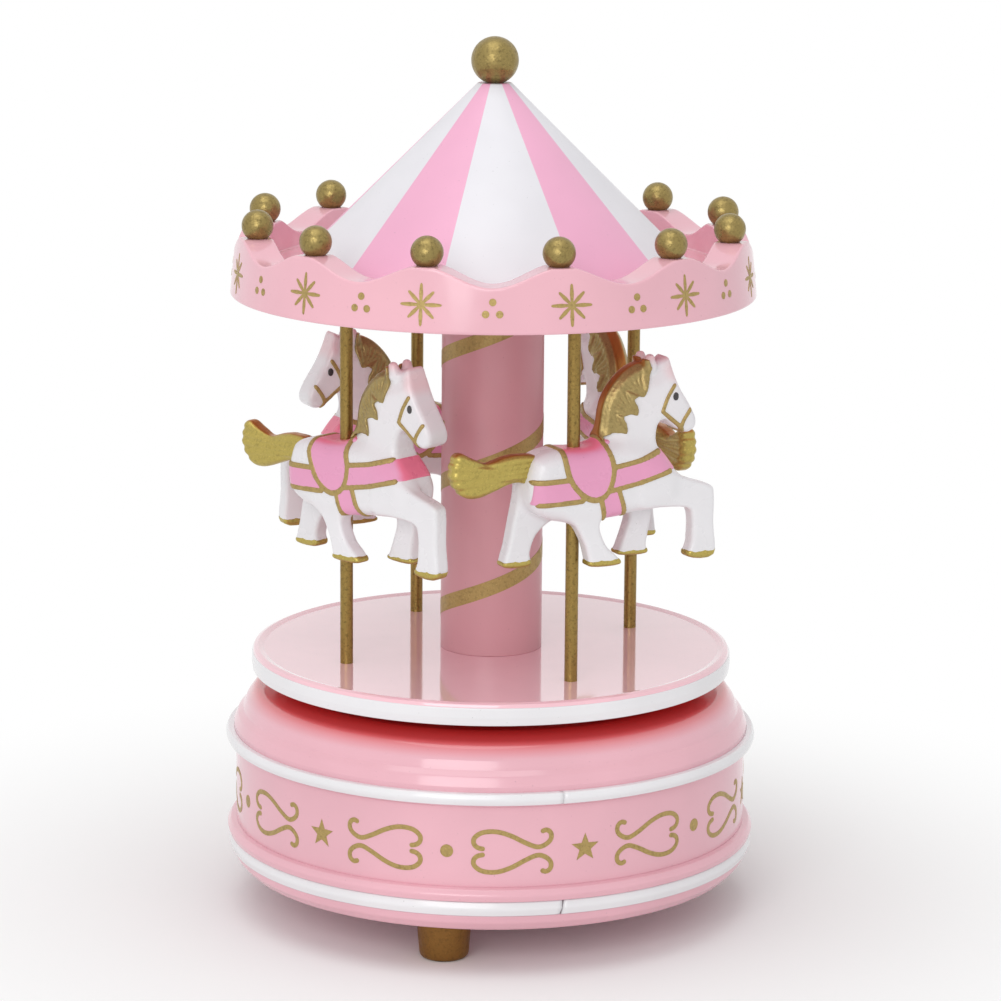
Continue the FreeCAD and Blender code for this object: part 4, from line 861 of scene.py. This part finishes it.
# turn in degrees and height of the three dots under a valley
RIM_DOTS = ((0.0, 134.4), (-1.45, 132.1), (1.45, 132.1))
BALL_RADIUS, BALL_MIDDLE, BALL_CIRCLE = 3.2, 143.1, 48.8
FINIAL_RADIUS, FINIAL_MIDDLE, FINIAL_SEAT = 4.8, 175.2, 170.7
BALL_STEPS = 32
ROOF = [
    (1.6, 170.7, 0.0), (1.6, 165.7, 0.0), (4.6, 165.7, 0.3), (35.8, 136.0, 0.3), (32.3, 136.0, 0.3),
    (32.3, 132.6, 0.0), (34.3, 132.6, 0.0), (34.3, 134.0, 0.0), (40.4, 134.0, 0.2), (3.4, 170.7, 0.5),
]
# part of a pair of stripes that is white, and angle of the middle of the front white stripe
WHITE_SHARE, WHITE_MIDDLE = 0.55, 5.0


def rim_radius(height):
    done = (height - RIM_LOW) / (RIM_SEAT - RIM_LOW)
    return RIM_LOW_RADIUS + (RIM_HIGH_RADIUS - RIM_LOW_RADIUS) * done


def rim_top(degrees):
    """Height of the scalloped edge: a wave, flat where the balls sit."""
    swing = (RIM_PEAK - RIM_VALLEY) / 2
    wave = RIM_VALLEY + swing + swing * math.cos(math.radians(SCALLOPS * (degrees - FIRST_PEAK)))
    return min(wave, RIM_SEAT)


class CAROUSEL_OT_rim(Operator):
    """Scalloped rim of the canopy and the ceiling under it"""
    bl_idname = "carousel.rim"
    bl_label = "Rim"

    def execute(self, context):
        points = []
        steps = 2 * TURN_STEPS
        for step in range(steps):
            degrees = 360 * step / steps
            top = rim_top(degrees)
            section = rounded([
                (RIM_SHELF_RADIUS, RIM_SHELF_LOW, 0.0), (RIM_UNDER_RADIUS, RIM_SHELF_LOW, 0.0),
                (RIM_UNDER_RADIUS, RIM_LOW, 0.3), (RIM_LOW_RADIUS, RIM_LOW, 0.45),
                (rim_radius(top), top, 0.55), (RIM_INNER_RADIUS, top, 0.4),
                (RIM_INNER_RADIUS, RIM_SHELF_TOP, 0.5), (RIM_SHELF_RADIUS, RIM_SHELF_TOP, 0.1),
            ])
            points += [around(radius, math.radians(degrees), height) for radius, height in section]
        faces = tube_faces(steps, len(points) // steps, True, True)
        piece("rim_moulding", (points, faces), "pink", "carousel", ("canopy_rim",))
        ceiling = turned(rounded(CEILING, closed=False), closed=False)
        piece("ceiling_disc", ceiling, "pink", "carousel", ("canopy_ceiling",))
        return {"FINISHED"}


class CAROUSEL_OT_rim_prints(Operator):
    """Stars under the peaks and three dots under the valleys of the rim"""
    bl_idname = "carousel.rim_prints"
    bl_label = "Rim prints"

    def execute(self, context):
        sizes = context.scene.carousel_sizes
        dot = dot_shape(sizes.dot_radius / MM)
        shapes = []
        for scallop in range(SCALLOPS):
            peak = FIRST_PEAK + 360 / SCALLOPS * scallop + STAR_DRIFT[scallop]
            shapes.append((peak, STAR_ROW, *ray_star(sizes.star_reach / MM)))
            valley = peak + 180 / SCALLOPS
            shapes += [(valley + turn, height, *dot) for turn, height in RIM_DOTS]
        prints = printed(shapes, rim_radius, sizes.print_lift / MM)
        piece("rim_prints", prints, "gold_print", "carousel", flat=True)
        return {"FINISHED"}


def bead(radius, middle, seat, steps):
    """A ball flattened where it is glued on."""
    profile = [(0.0, seat)]
    lowest = math.degrees(math.asin((seat - middle) / radius))
    for step in range(BALL_STEPS + 1):
        angle = math.radians(lowest + (90 - lowest) * step / BALL_STEPS)
        profile.append((radius * math.cos(angle), middle + radius * math.sin(angle)))
    profile[-1] = (0.0, middle + radius)
    return turned(profile, closed=False, steps=steps)


class CAROUSEL_OT_balls(Operator):
    """Gold balls of the rim and the finial"""
    bl_idname = "carousel.balls"
    bl_label = "Balls"

    def execute(self, context):
        ball = bead(BALL_RADIUS, BALL_MIDDLE, RIM_SEAT, 48)
        points = []
        faces = []
        for scallop in range(SCALLOPS):
            x, y, _ = around(BALL_CIRCLE, math.radians(FIRST_PEAK + 360 / SCALLOPS * scallop), 0.0)
            ball_points, ball_faces = shifted(ball, x, y)
            faces += [tuple(len(points) + index for index in face) for face in ball_faces]
            points += ball_points
        piece("rim_beads", (points, faces), "gold_paint", "carousel", ("rim_balls",))
        finial = bead(FINIAL_RADIUS, FINIAL_MIDDLE, FINIAL_SEAT, 96)
        piece("finial_bead", finial, "gold_paint", "carousel", ("finial_ball",))
        return {"FINISHED"}


class CAROUSEL_OT_roof(Operator):
    """Conical roof with pink and white stripes"""
    bl_idname = "carousel.roof"
    bl_label = "Roof"

    def execute(self, context):
        roof = piece("roof_cone", turned(rounded(ROOF)), ("roof_white", "roof_pink"), "carousel",
                     ("canopy_roof",))
        pair = 720 / context.scene.carousel_sizes.stripe_count
        white_width = WHITE_SHARE * pair
        for polygon in roof.data.polygons:
            middle = polygon.center
            angle = math.degrees(math.atan2(middle.x, -middle.y)) - WHITE_MIDDLE + white_width / 2
            polygon.material_index = int(angle % pair > white_width)
        return {"FINISHED"}


# Horses. Outlines are (forward, up) from the point where the pole enters the saddle.

TORSO = [
    (-10.3, -2.6), (-8.8, -0.9), (-5.0, 0.1), (0.0, -0.1), (5.5, 0.4), (11.0, 0.2), (17.0, -2.0),
    (20.6, -5.2), (21.6, -8.4), (20.4, -11.6), (15.0, -13.2), (8.0, -14.1), (0.0, -14.5), (-6.0, -13.9),
    (-10.3, -11.4), (-11.3, -7.0),
]
NECK_AND_HEAD = [
    (5.6, -1.0), (5.8, 5.0), (6.8, 9.4), (9.4, 13.0), (12.6, 15.2), (16.4, 15.9), (18.5, 16.5),
    (19.9, 16.9), (20.9, 13.9), (22.5, 10.5), (24.6, 7.2), (26.0, 4.4), (25.8, 2.4), (23.9, 1.5),
    (21.4, 2.7), (19.2, 4.4), (17.5, 3.4), (17.2, -0.5), (18.6, -4.0), (19.5, -8.0), (12.0, -8.0),
]
RAISED_FORELEG = [
    (13.5, -4.6), (19.1, -5.8), (24.6, -7.8), (28.6, -9.2), (29.5, -11.0), (29.5, -17.0), (29.6, -23.5),
    (23.9, -23.5), (24.5, -20.6), (24.5, -15.2), (23.0, -13.4), (17.0, -12.8), (13.0, -12.0),
]
FOLDED_FORELEG = [
    (12.0, -9.0), (13.5, -15.0), (12.7, -18.6), (11.6, -21.6), (11.3, -23.2), (17.4, -23.4),
    (17.4, -21.6), (17.9, -18.6), (18.5, -14.9), (18.2, -9.0),
]
FORWARD_HINDLEG = [
    (-7.0, -7.5), (-3.9, -12.6), (-1.2, -15.6), (0.7, -19.3), (1.5, -22.2), (2.1, -23.6), (8.4, -23.6),
    (7.6, -21.8), (5.3, -19.6), (3.8, -15.6), (4.8, -12.0), (3.0, -7.5),
]
TRAILING_HINDLEG = [
    (-10.2, -4.6), (-11.3, -9.0), (-12.4, -14.3), (-13.4, -19.3), (-14.1, -21.8), (-14.0, -23.6),
    (-8.6, -23.6), (-8.6, -21.0), (-7.3, -17.6), (-4.6, -15.2), (-2.0, -12.5), (-4.0, -7.0),
]
SADDLE = [
    (-4.2, 2.5), (-4.1, -2.4), (-2.8, -6.2), (-0.6, -8.7), (2.0, -9.9), (4.5, -9.2), (5.9, -7.0),
    (6.3, -4.0), (5.6, -0.8), (4.8, 2.5),
]
HIND_BAND = [(-10.6, -5.7), (-3.0, -5.6), (-0.6, -9.9), (-10.9, -10.3)]
CHEST_BAND = [
    (5.5, -3.9), (12.0, -2.9), (17.0, -1.5), (24.0, 0.6), (25.0, -4.6), (18.6, -5.5), (12.0, -7.3),
    (5.0, -8.6),
]
GIRTH = [(3.4, -9.0), (5.2, -16.5), (10.2, -16.5), (7.4, -7.8)]
HOOF_LINE = -22.45
HARNESS_EDGES = [
    [(-10.6, -5.7), (-3.0, -5.6)],
    [(-9.7, -10.25), (-0.6, -9.9)],
    [(5.9, -3.9), (12.0, -2.9), (17.0, -1.5)],
    [(5.4, -8.5), (12.0, -7.3), (19.0, -5.4)],
    [(3.5, -9.8), (5.2, -16.5)],
    [(7.5, -8.4), (10.2, -16.5)],
]
BRIDLE = [
    [(20.8, 11.4), (19.3, 9.0), (18.2, 6.2)],
    [(18.2, 6.2), (20.2, 4.6), (22.4, 2.7), (22.9, 1.2)],
    [(22.4, 2.7), (23.0, 4.2), (24.4, 6.2)],
]
EYE = (21.1, 9.1)
CREST = [(5.6, 0.0), (5.8, 5.0), (6.8, 9.4), (9.4, 13.0), (12.6, 15.2), (16.4, 15.9)]
MANE = [
    (5.0, 1.0), (4.0, 4.0), (4.6, 8.2), (6.4, 12.2), (9.4, 15.2), (12.8, 17.0), (15.0, 16.9),
    (15.5, 15.4), (15.3, 13.0), (14.1, 9.4), (12.6, 9.7), (11.6, 9.1), (12.5, 7.7), (12.8, 5.7),
    (11.0, 6.2), (9.4, 5.7), (10.1, 4.3), (10.3, 2.3), (7.8, 2.6), (5.6, 2.0),
]
# front root, back root and tip of each lock of the mane
LOCKS = [
    ((8.0, 8.0), (4.8, 2.6), (10.2, 2.4)), ((10.2, 12.0), (5.6, 6.8), (12.7, 5.8)),
    ((14.6, 16.2), (8.0, 12.4), (14.1, 9.6)),
]
TAIL = [
    (-8.2, -1.4), (-12.4, -0.5), (-15.5, -0.8), (-19.2, -1.7), (-22.4, -0.5), (-24.8, 0.7), (-26.3, 0.1),
    (-27.0, -1.8), (-27.1, -4.0), (-26.0, -6.6), (-23.8, -8.3), (-21.0, -8.5), (-17.5, -7.4),
    (-14.6, -6.4), (-12.1, -6.2), (-8.2, -6.8),
]
# height of each groove of the tail at its root, waist, fan and end
TAIL_GROOVES = [
    (-2.1, -2.6, -1.9, -0.7), (-3.1, -3.6, -3.2, -2.7), (-4.2, -4.6, -4.7, -4.9),
    (-5.3, -5.7, -6.3, -7.0),
]
TAIL_STATIONS = (-8.0, -16.0, -22.0, -28.0)
# height of the saddle, turn on the pole and slide along the horse
HORSES = [(101.9, -3.0, 0.0), (100.8, -5.0, 0.0), (99.0, -4.0, 0.0), (100.4, 20.5, -1.2)]
LEG_SIDE = 3.0
LEG_HALF_WIDTH = 1.9
TORSO_HALF_WIDTH, TORSO_ROUNDING = 5.3, 3.2
# half width of the neck at its crest, what it gains further down, and over what distance
CREST_HALF_WIDTH, NECK_GAIN, NECK_REACH, NECK_ROUNDING = 1.5, 1.7, 4.5, 1.2
LEG_ROUNDING = 0.8
NECK_MELT, LEG_MELT, EAR_MELT, POMMEL_MELT = 3.0, 1.6, 0.8, 0.5
# root and tip of an ear: forward, sideways, up, radius
EAR_ROOT, EAR_TIP = (16.0, 1.8, 15.2, 1.4), (15.7, 2.0, 16.9, 1.0)
POMMEL = (6.2, -2.2, 0.5, 0.9), (6.2, 2.2, 0.5, 0.9)
# half widths of the gold edges, and the heights where harness and trim end under the belly
STRAP_EDGE, SADDLE_EDGE, BRIDLE_EDGE = 0.55, 0.62, 0.42
HARNESS_LOWEST, TRIM_LOWEST = -14.4, -14.5
EYE_HALF_WIDTH, EYE_HALF_HEIGHT = 0.62, 0.85
STRANDS_OF_A_LOCK = (0.1, 0.32, 0.54, 0.76, 0.98)
# depth and width of the grooves
MANE_GROOVE, TAIL_GROOVE = (0.42, 0.3), (0.3, 0.45)
TAIL_HALF_WIDTH, TAIL_ROUNDING = 2.0, 1.5
TRIM_LIFT, MANE_LIFT, HOOF_LIFT = 0.12, 0.6, 0.10
# pink on ears and forehead, airbrush together with painted reflection of the pink carousel: strength and
# heights where it starts and is full on the ears, and strength, spot and distances where it ends and is
# full on the forehead
EAR_PINK_STRENGTH, EAR_PINK_FROM, EAR_PINK_FULL = 0.55, 15.4, 17.4
BROW_PINK_STRENGTH, BROW, BROW_END, BROW_FULL = 0.4, (21.4, 14.6), 3.8, 1.0
HAIR_SHADE = 0.85
# heights above which the paint of the chest and of the seat turns hot pink, and where the chest starts
CHEST_LOW, SEAT_LOW, CHEST_START = -6.5, -1.6, 12


def side_view(x, z):
    """Forward and up of each spot, seen from the side."""
    return x[:, 0, :], z[:, 0, :]


def from_crest(u, v):
    return line_distance(smooth_line(CREST, 5), u, v)[:, None, :]


def horse_field(x, y, z, lift):
    """The horse without its mane, tail and paint, grown by a lift."""
    u, v = side_view(x, z)
    body = slab(smooth_outline(TORSO, u, v), y, TORSO_HALF_WIDTH, TORSO_ROUNDING)
    neck_width = CREST_HALF_WIDTH + NECK_GAIN * np.clip(from_crest(u, v) / NECK_REACH, 0, 1)
    neck = slab(smooth_outline(NECK_AND_HEAD, u, v), y, neck_width, NECK_ROUNDING)
    body = melt(body, neck, NECK_MELT)
    for outline, side in ((RAISED_FORELEG, -1), (FORWARD_HINDLEG, -1), (FOLDED_FORELEG, 1),
                          (TRAILING_HINDLEG, 1)):
        flat = smooth_outline(outline, u, v, 4)
        body = melt(body, slab(flat, y - side * LEG_SIDE, LEG_HALF_WIDTH, LEG_ROUNDING), LEG_MELT)
    for side in (-1, 1):
        body = melt(body, rod(x, side * y, z, EAR_ROOT, EAR_TIP), EAR_MELT)
    return body - lift


def sheet_field(x, y, z, lift, region):
    """A sheet on the horse, over a region of its side view."""
    return np.maximum(horse_field(x, y, z, lift), region[:, None, :])


def harness_field(x, y, z, lift):
    """Saddle, straps and chest band, standing a little out of the horse."""
    u, v = side_view(x, z)
    region = smooth_outline(SADDLE, u, v)
    for outline in (HIND_BAND, CHEST_BAND, GIRTH):
        region = np.minimum(region, outline_distance(outline, u, v))
    sheet = np.maximum(sheet_field(x, y, z, lift, region), HARNESS_LOWEST - z)
    return melt(sheet, rod(x, y, z, *POMMEL), POMMEL_MELT)


def trim_field(x, y, z, lift):
    """Gold edges of saddle and straps, and the bridle."""
    u, v = side_view(x, z)
    straps = nearest_line(HARNESS_EDGES, u, v) - STRAP_EDGE
    border = line_distance(smooth_line(SADDLE), u, v) - SADDLE_EDGE
    bridle = nearest_line([smooth_line(line, 5) for line in BRIDLE], u, v) - BRIDLE_EDGE
    edges = np.minimum(border, np.maximum(straps, -smooth_outline(SADDLE, u, v)))
    return np.maximum(sheet_field(x, y, z, lift, np.minimum(edges, bridle)), TRIM_LOWEST - z)


def eye_field(x, y, z, lift):
    u, v = side_view(x, z)
    reach = np.hypot((u - EYE[0]) / EYE_HALF_WIDTH, (v - EYE[1]) / EYE_HALF_HEIGHT)
    return sheet_field(x, y, z, lift, (reach - 1.0) * EYE_HALF_WIDTH)


def hoof_field(x, y, z, lift):
    """Gilt hooves with an uneven painted edge."""
    uneven = 0.10 * np.sin(1.9 * x) + 0.06 * np.sin(4.3 * x + 2.0 * y)
    return np.maximum(horse_field(x, y, z, lift), z - HOOF_LINE - uneven)


def groove_depth(lines, u, v, depth, width):
    """How deep soft grooves along some lines are cut at each spot."""
    nearest = nearest_line([smooth_line(line, 6) for line in lines], u, v)
    return (depth * np.exp(-(nearest / width) ** 2))[:, None, :]


def mane_field(x, y, z, lift):
    """Pointed locks that lie on both sides of the neck, cut into strands."""
    u, v = side_view(x, z)
    lines = []
    for front, back, tip in LOCKS:
        for share_back in STRANDS_OF_A_LOCK:
            root = [front[axis] + (back[axis] - front[axis]) * share_back for axis in (0, 1)]
            bend = (0.5 * root[0] + 0.5 * tip[0] - 0.5, 0.5 * root[1] + 0.5 * tip[1])
            lines.append([root, bend, tip])
    grooves = groove_depth(lines, u, v, *MANE_GROOVE) * np.clip(from_crest(u, v) / 1.2 - 0.6, 0, 1)
    return np.maximum(horse_field(x, y, z, lift) + grooves, outline_distance(MANE, u, v)[:, None, :])


def tail_field(x, y, z, lift):
    """A narrow root that widens to a fan, cut into strands."""
    u, v = side_view(x, z)
    lines = [list(zip(TAIL_STATIONS, heights)) for heights in TAIL_GROOVES]
    tail = slab(smooth_outline(TAIL, u, v), y, TAIL_HALF_WIDTH, TAIL_ROUNDING)
    return tail - lift + groove_depth(lines, u, v, *TAIL_GROOVE)


def pink_airbrush_and_reflection_at(spot, normal):
    """Pink on the ears and the forehead: airbrush, together with painted reflection of the pink carousel
    around them.
    """
    ears = soft_step(EAR_PINK_FROM, EAR_PINK_FULL, spot.z)
    brow = soft_step(BROW_END, BROW_FULL, math.dist((spot.x, spot.z), BROW))
    return max(EAR_PINK_STRENGTH * ears, BROW_PINK_STRENGTH * brow)


def narrow_side(normal):
    """Strength of the brown shade where hair faces up, back or down instead of sideways."""
    return HAIR_SHADE * soft_step(0.62, 0.30, abs(normal.y))


def mane_edge_at(spot, normal):
    """Brown shade on the narrow back edge of the mane."""
    return narrow_side(normal) * soft_step(-0.3, 0.3, normal.z - normal.x)


def tail_edge_at(spot, normal):
    """Brown shade along the top of the tail."""
    return narrow_side(normal) * soft_step(0.35, 0.8, normal.z)


def facing_out_at(spot, normal):
    """1 on the seat and the chest, where a painted part faces up or forward instead of sideways."""
    if spot.z <= CHEST_LOW or (spot.z <= SEAT_LOW and spot.x <= CHEST_START):
        return 0.0
    return soft_step(0.75, 0.35, abs(normal.y))


# value that a carving carries at each point, for its material
CARRIED = {
    "body": ("blush", pink_airbrush_and_reflection_at), "harness": ("facing_out", facing_out_at), "mane": ("edge", mane_edge_at),
    "tail": ("edge", tail_edge_at),
}
# name, field, low and high corner, part of the carving step, finish, slot
CARVINGS = (
    ("body", horse_field, (-17.0, -6.0, -25.0), (31.5, 6.0, 19.6), 1.0, "horse", "horse_plastic"),
    ("mane", mane_field, (2.0, -5.0, 0.0), (18.0, 5.0, 19.5), 0.8, "mane", "gold_plastic"),
    ("tail", tail_field, (-30.0, -4.0, -11.0), (-4.0, 4.0, 3.0), 0.8, "hair", "gold_plastic"),
    ("harness", harness_field, (-15.0, -6.4, -16.0), (25.0, 6.4, 3.5), 0.8, "saddle", "horse_plastic"),
    ("trim", trim_field, (-15.0, -6.4, -16.0), (27.5, 6.4, 13.0), 0.8, "gold_print", "gold_plastic"),
    ("eyes", eye_field, (19.5, -4.2, 7.5), (23.0, 4.2, 10.8), 0.5, "eye", "horse_plastic"),
    ("hooves", hoof_field, (-17.0, -6.0, -25.0), (31.5, 6.0, -21.5), 0.8, "hair", "gold_plastic"),
)


class CAROUSEL_OT_horses(Operator):
    """Four carved horses with mane, tail, harness, bridle, eyes and gilt hooves"""
    bl_idname = "carousel.horses"
    bl_label = "Horses"

    def execute(self, context):
        sizes = context.scene.carousel_sizes
        step = sizes.carving_step / MM
        paint = sizes.paint_lift / MM
        lifts = {"body": 0.0, "mane": MANE_LIFT, "tail": 0.0, "harness": paint, "trim": paint + TRIM_LIFT,
                 "eyes": paint, "hooves": HOOF_LIFT}
        meshes = {}
        for name, field, low, high, part, finish, slot in CARVINGS:
            mesh = carved(f"horse_{name}", field, lifts[name], low, high, part * step, finish)
            if name in CARRIED:
                paint_share(mesh, *CARRIED[name])
            meshes[name] = mesh, slot
        for number, (saddle, turn, slide) in enumerate(HORSES, 1):
            x, y, _ = node_middle(f"pole_{number}")
            heading = math.atan2(y, x) + math.radians(90 + turn)
            place = (Matrix.Translation((x * MM, y * MM, saddle * MM)) @ Matrix.Rotation(heading, 4, "Z")
                     @ Matrix.Translation((slide * MM, 0.0, 0.0)))
            for name, (mesh, slot) in meshes.items():
                stands_for = (f"horse_{number}",) if name == "body" else ()
                show(f"horse_{number}_{name}", mesh, "carousel", stands_for, place)
        return {"FINISHED"}


class CAROUSEL_OT_movement(Operator):
    """Finishes of the movement, the key and the other pieces that keep their CAD shape"""
    bl_idname = "carousel.movement"
    bl_label = "Movement finishes"

    def execute(self, context):
        slots = {row["node"]: row["material_slot"] for row in frame["record"]["subparts"]}
        for name, node in frame["nodes"].items():
            if slots.get(name) not in SLOT_FINISH:
                raise RuntimeError(f"no finish for the CAD node {name}")
            node.data.materials.clear()
            node.data.materials.append(FINISHES[SLOT_FINISH[slots[name]]])
        return {"FINISHED"}


# Stage. The camera is given in millimetres, radians and pixels, lamps and floor in metres.

CAMERA_SPOT = (1.766, -792.41, 253.18)
CAMERA_PITCH = 0.2095
CAMERA_ROLL = -0.0076
CAMERA_FOCAL = 3936.55
IMAGE_SIDE = 1001
SENSOR = 36.0
FLOOR_RADIUS, FLOOR_SIDES = 1.6, 96
# distances from the axis between which the floor turns white
FADE_START, FADE_END = 0.045, 0.18
# lamp, its setting, size, spot and aim
LAMPS = (
    ("top_lamp", "top_power", 0.7, (-0.10, -0.15, 0.95), (0.0, 0.0, 0.08)),
    ("front_lamp", "front_power", 0.6, (-0.22, -0.90, 0.45), (0.0, 0.0, 0.09)),
)


def seen_directly(tree):
    """1 for camera, mirror and glass rays, 0 for light that falls on the object."""
    rays = add_node(tree, "LightPath").outputs
    seen = rays["Is Camera Ray"]
    for kind in ("Is Glossy Ray", "Is Transmission Ray"):
        seen = add_node(tree, "Math", {0: seen, 1: rays[kind]}, operation="MAXIMUM").outputs[0]
    return seen


def floor_material(tone):
    """Pale floor that fades to white away from the object."""
    material = plain_material("pale_floor", tone, 0.8)
    shader_input(material, "Specular IOR Level").default_value = 0.0
    tree = material.node_tree
    spots = add_node(tree, "TexCoord").outputs["Object"]
    reach = add_node(tree, "VectorMath", {0: spots}, operation="LENGTH").outputs["Value"]
    fade = add_node(tree, "MapRange", {"Value": reach, "From Min": FADE_START, "From Max": FADE_END},
                    interpolation_type="SMOOTHSTEP").outputs["Result"]
    both = add_node(tree, "Math", {0: fade, 1: seen_directly(tree)}, operation="MULTIPLY").outputs[0]
    mix = add_node(tree, "MixShader", {"Fac": both, 1: tree.nodes["Principled BSDF"].outputs[0],
                                       2: add_node(tree, "Emission").outputs[0]})
    tree.links.new(mix.outputs[0], tree.nodes["Material Output"].inputs["Surface"])
    return material


def soft_lamp(name, power, size, spot, aim):
    lamp = bpy.data.lights.new(name, "AREA")
    lamp.energy = power
    lamp.shape = "DISK"
    lamp.size = size
    thing = bpy.data.objects.new(name, lamp)
    bpy.context.scene.collection.objects.link(thing)
    thing.location = spot
    thing.rotation_euler = (Vector(aim) - Vector(spot)).to_track_quat("-Z", "Y").to_euler()


class CAROUSEL_OT_stage(Operator):
    """Pale floor, soft light and the camera"""
    bl_idname = "carousel.stage"
    bl_label = "Stage"

    def execute(self, context):
        scene = context.scene
        stage = scene.carousel_stage
        mesh = bpy.data.meshes.new("floor")
        rim = [around(FLOOR_RADIUS, 2 * math.pi * side / FLOOR_SIDES, 0.0) for side in range(FLOOR_SIDES)]
        mesh.from_pydata(rim, [], [tuple(range(FLOOR_SIDES))])
        mesh.materials.append(floor_material(tuple(stage.floor)))
        floor = bpy.data.objects.new("floor", mesh)
        scene.collection.objects.link(floor)

        world = bpy.data.worlds.new("white_room")
        world.use_nodes = True
        scene.world = world
        background = world.node_tree.nodes["Background"]
        background.inputs["Color"].default_value = (1.0, 1.0, 1.0, 1.0)
        tree = world.node_tree
        strength = add_node(tree, "MapRange", {"Value": seen_directly(tree), "To Min": stage.ambient,
                                               "To Max": 1.0})
        tree.links.new(strength.outputs["Result"], background.inputs["Strength"])

        for name, power, size, spot, aim in LAMPS:
            soft_lamp(name, getattr(stage, power), size, spot, aim)

        camera = bpy.data.objects.new("camera", bpy.data.cameras.new("camera"))
        scene.collection.objects.link(camera)
        camera.data.sensor_width = SENSOR
        camera.data.sensor_fit = "HORIZONTAL"
        camera.data.lens = SENSOR * CAMERA_FOCAL / IMAGE_SIDE
        camera.data.clip_start = 0.01
        camera.matrix_world = (Matrix.Translation(Vector(CAMERA_SPOT) * MM)
                               @ Matrix.Rotation(math.pi / 2 - CAMERA_PITCH, 4, "X")
                               @ Matrix.Rotation(-CAMERA_ROLL, 4, "Z"))
        scene.camera = camera
        scene.view_settings.view_transform = "Standard"
        return {"FINISHED"}


STEPS = (
    CAROUSEL_OT_movement, CAROUSEL_OT_base, CAROUSEL_OT_feet, CAROUSEL_OT_wall_prints,
    CAROUSEL_OT_turntable, CAROUSEL_OT_column, CAROUSEL_OT_poles, CAROUSEL_OT_rim,
    CAROUSEL_OT_rim_prints, CAROUSEL_OT_balls, CAROUSEL_OT_roof, CAROUSEL_OT_horses, CAROUSEL_OT_stage,
)


class CAROUSEL_PT_panel(Panel):
    """Sizes, colours and steps of the carousel music box"""
    bl_label = "Carousel music box"
    bl_idname = "CAROUSEL_PT_panel"
    bl_space_type = "VIEW_3D"
    bl_region_type = "UI"
    bl_category = "Carousel"

    def draw(self, context):
        scene = context.scene
        for group in (scene.carousel_sizes, scene.carousel_colours, scene.carousel_stage):
            box = self.layout.box()
            for name in group.bl_rna.properties.keys():
                if name not in ("rna_type", "name"):
                    box.prop(group, name)
        for step in STEPS:
            self.layout.operator(step.bl_idname)


CLASSES = (CarouselSizes, CarouselColours, CarouselStage) + STEPS + (CAROUSEL_PT_panel,)


def register():
    for cls in CLASSES:
        bpy.utils.register_class(cls)
    bpy.types.Scene.carousel_sizes = PointerProperty(type=CarouselSizes)
    bpy.types.Scene.carousel_colours = PointerProperty(type=CarouselColours)
    bpy.types.Scene.carousel_stage = PointerProperty(type=CarouselStage)


def unregister():
    for name in ("carousel_sizes", "carousel_colours", "carousel_stage"):
        delattr(bpy.types.Scene, name)
    for cls in reversed(CLASSES):
        bpy.utils.unregister_class(cls)


def main():
    register()
    make_materials()
    for step in STEPS:
        group, name = step.bl_idname.split(".")
        getattr(getattr(bpy.ops, group), name)()


if __name__ == "__main__":
    main()
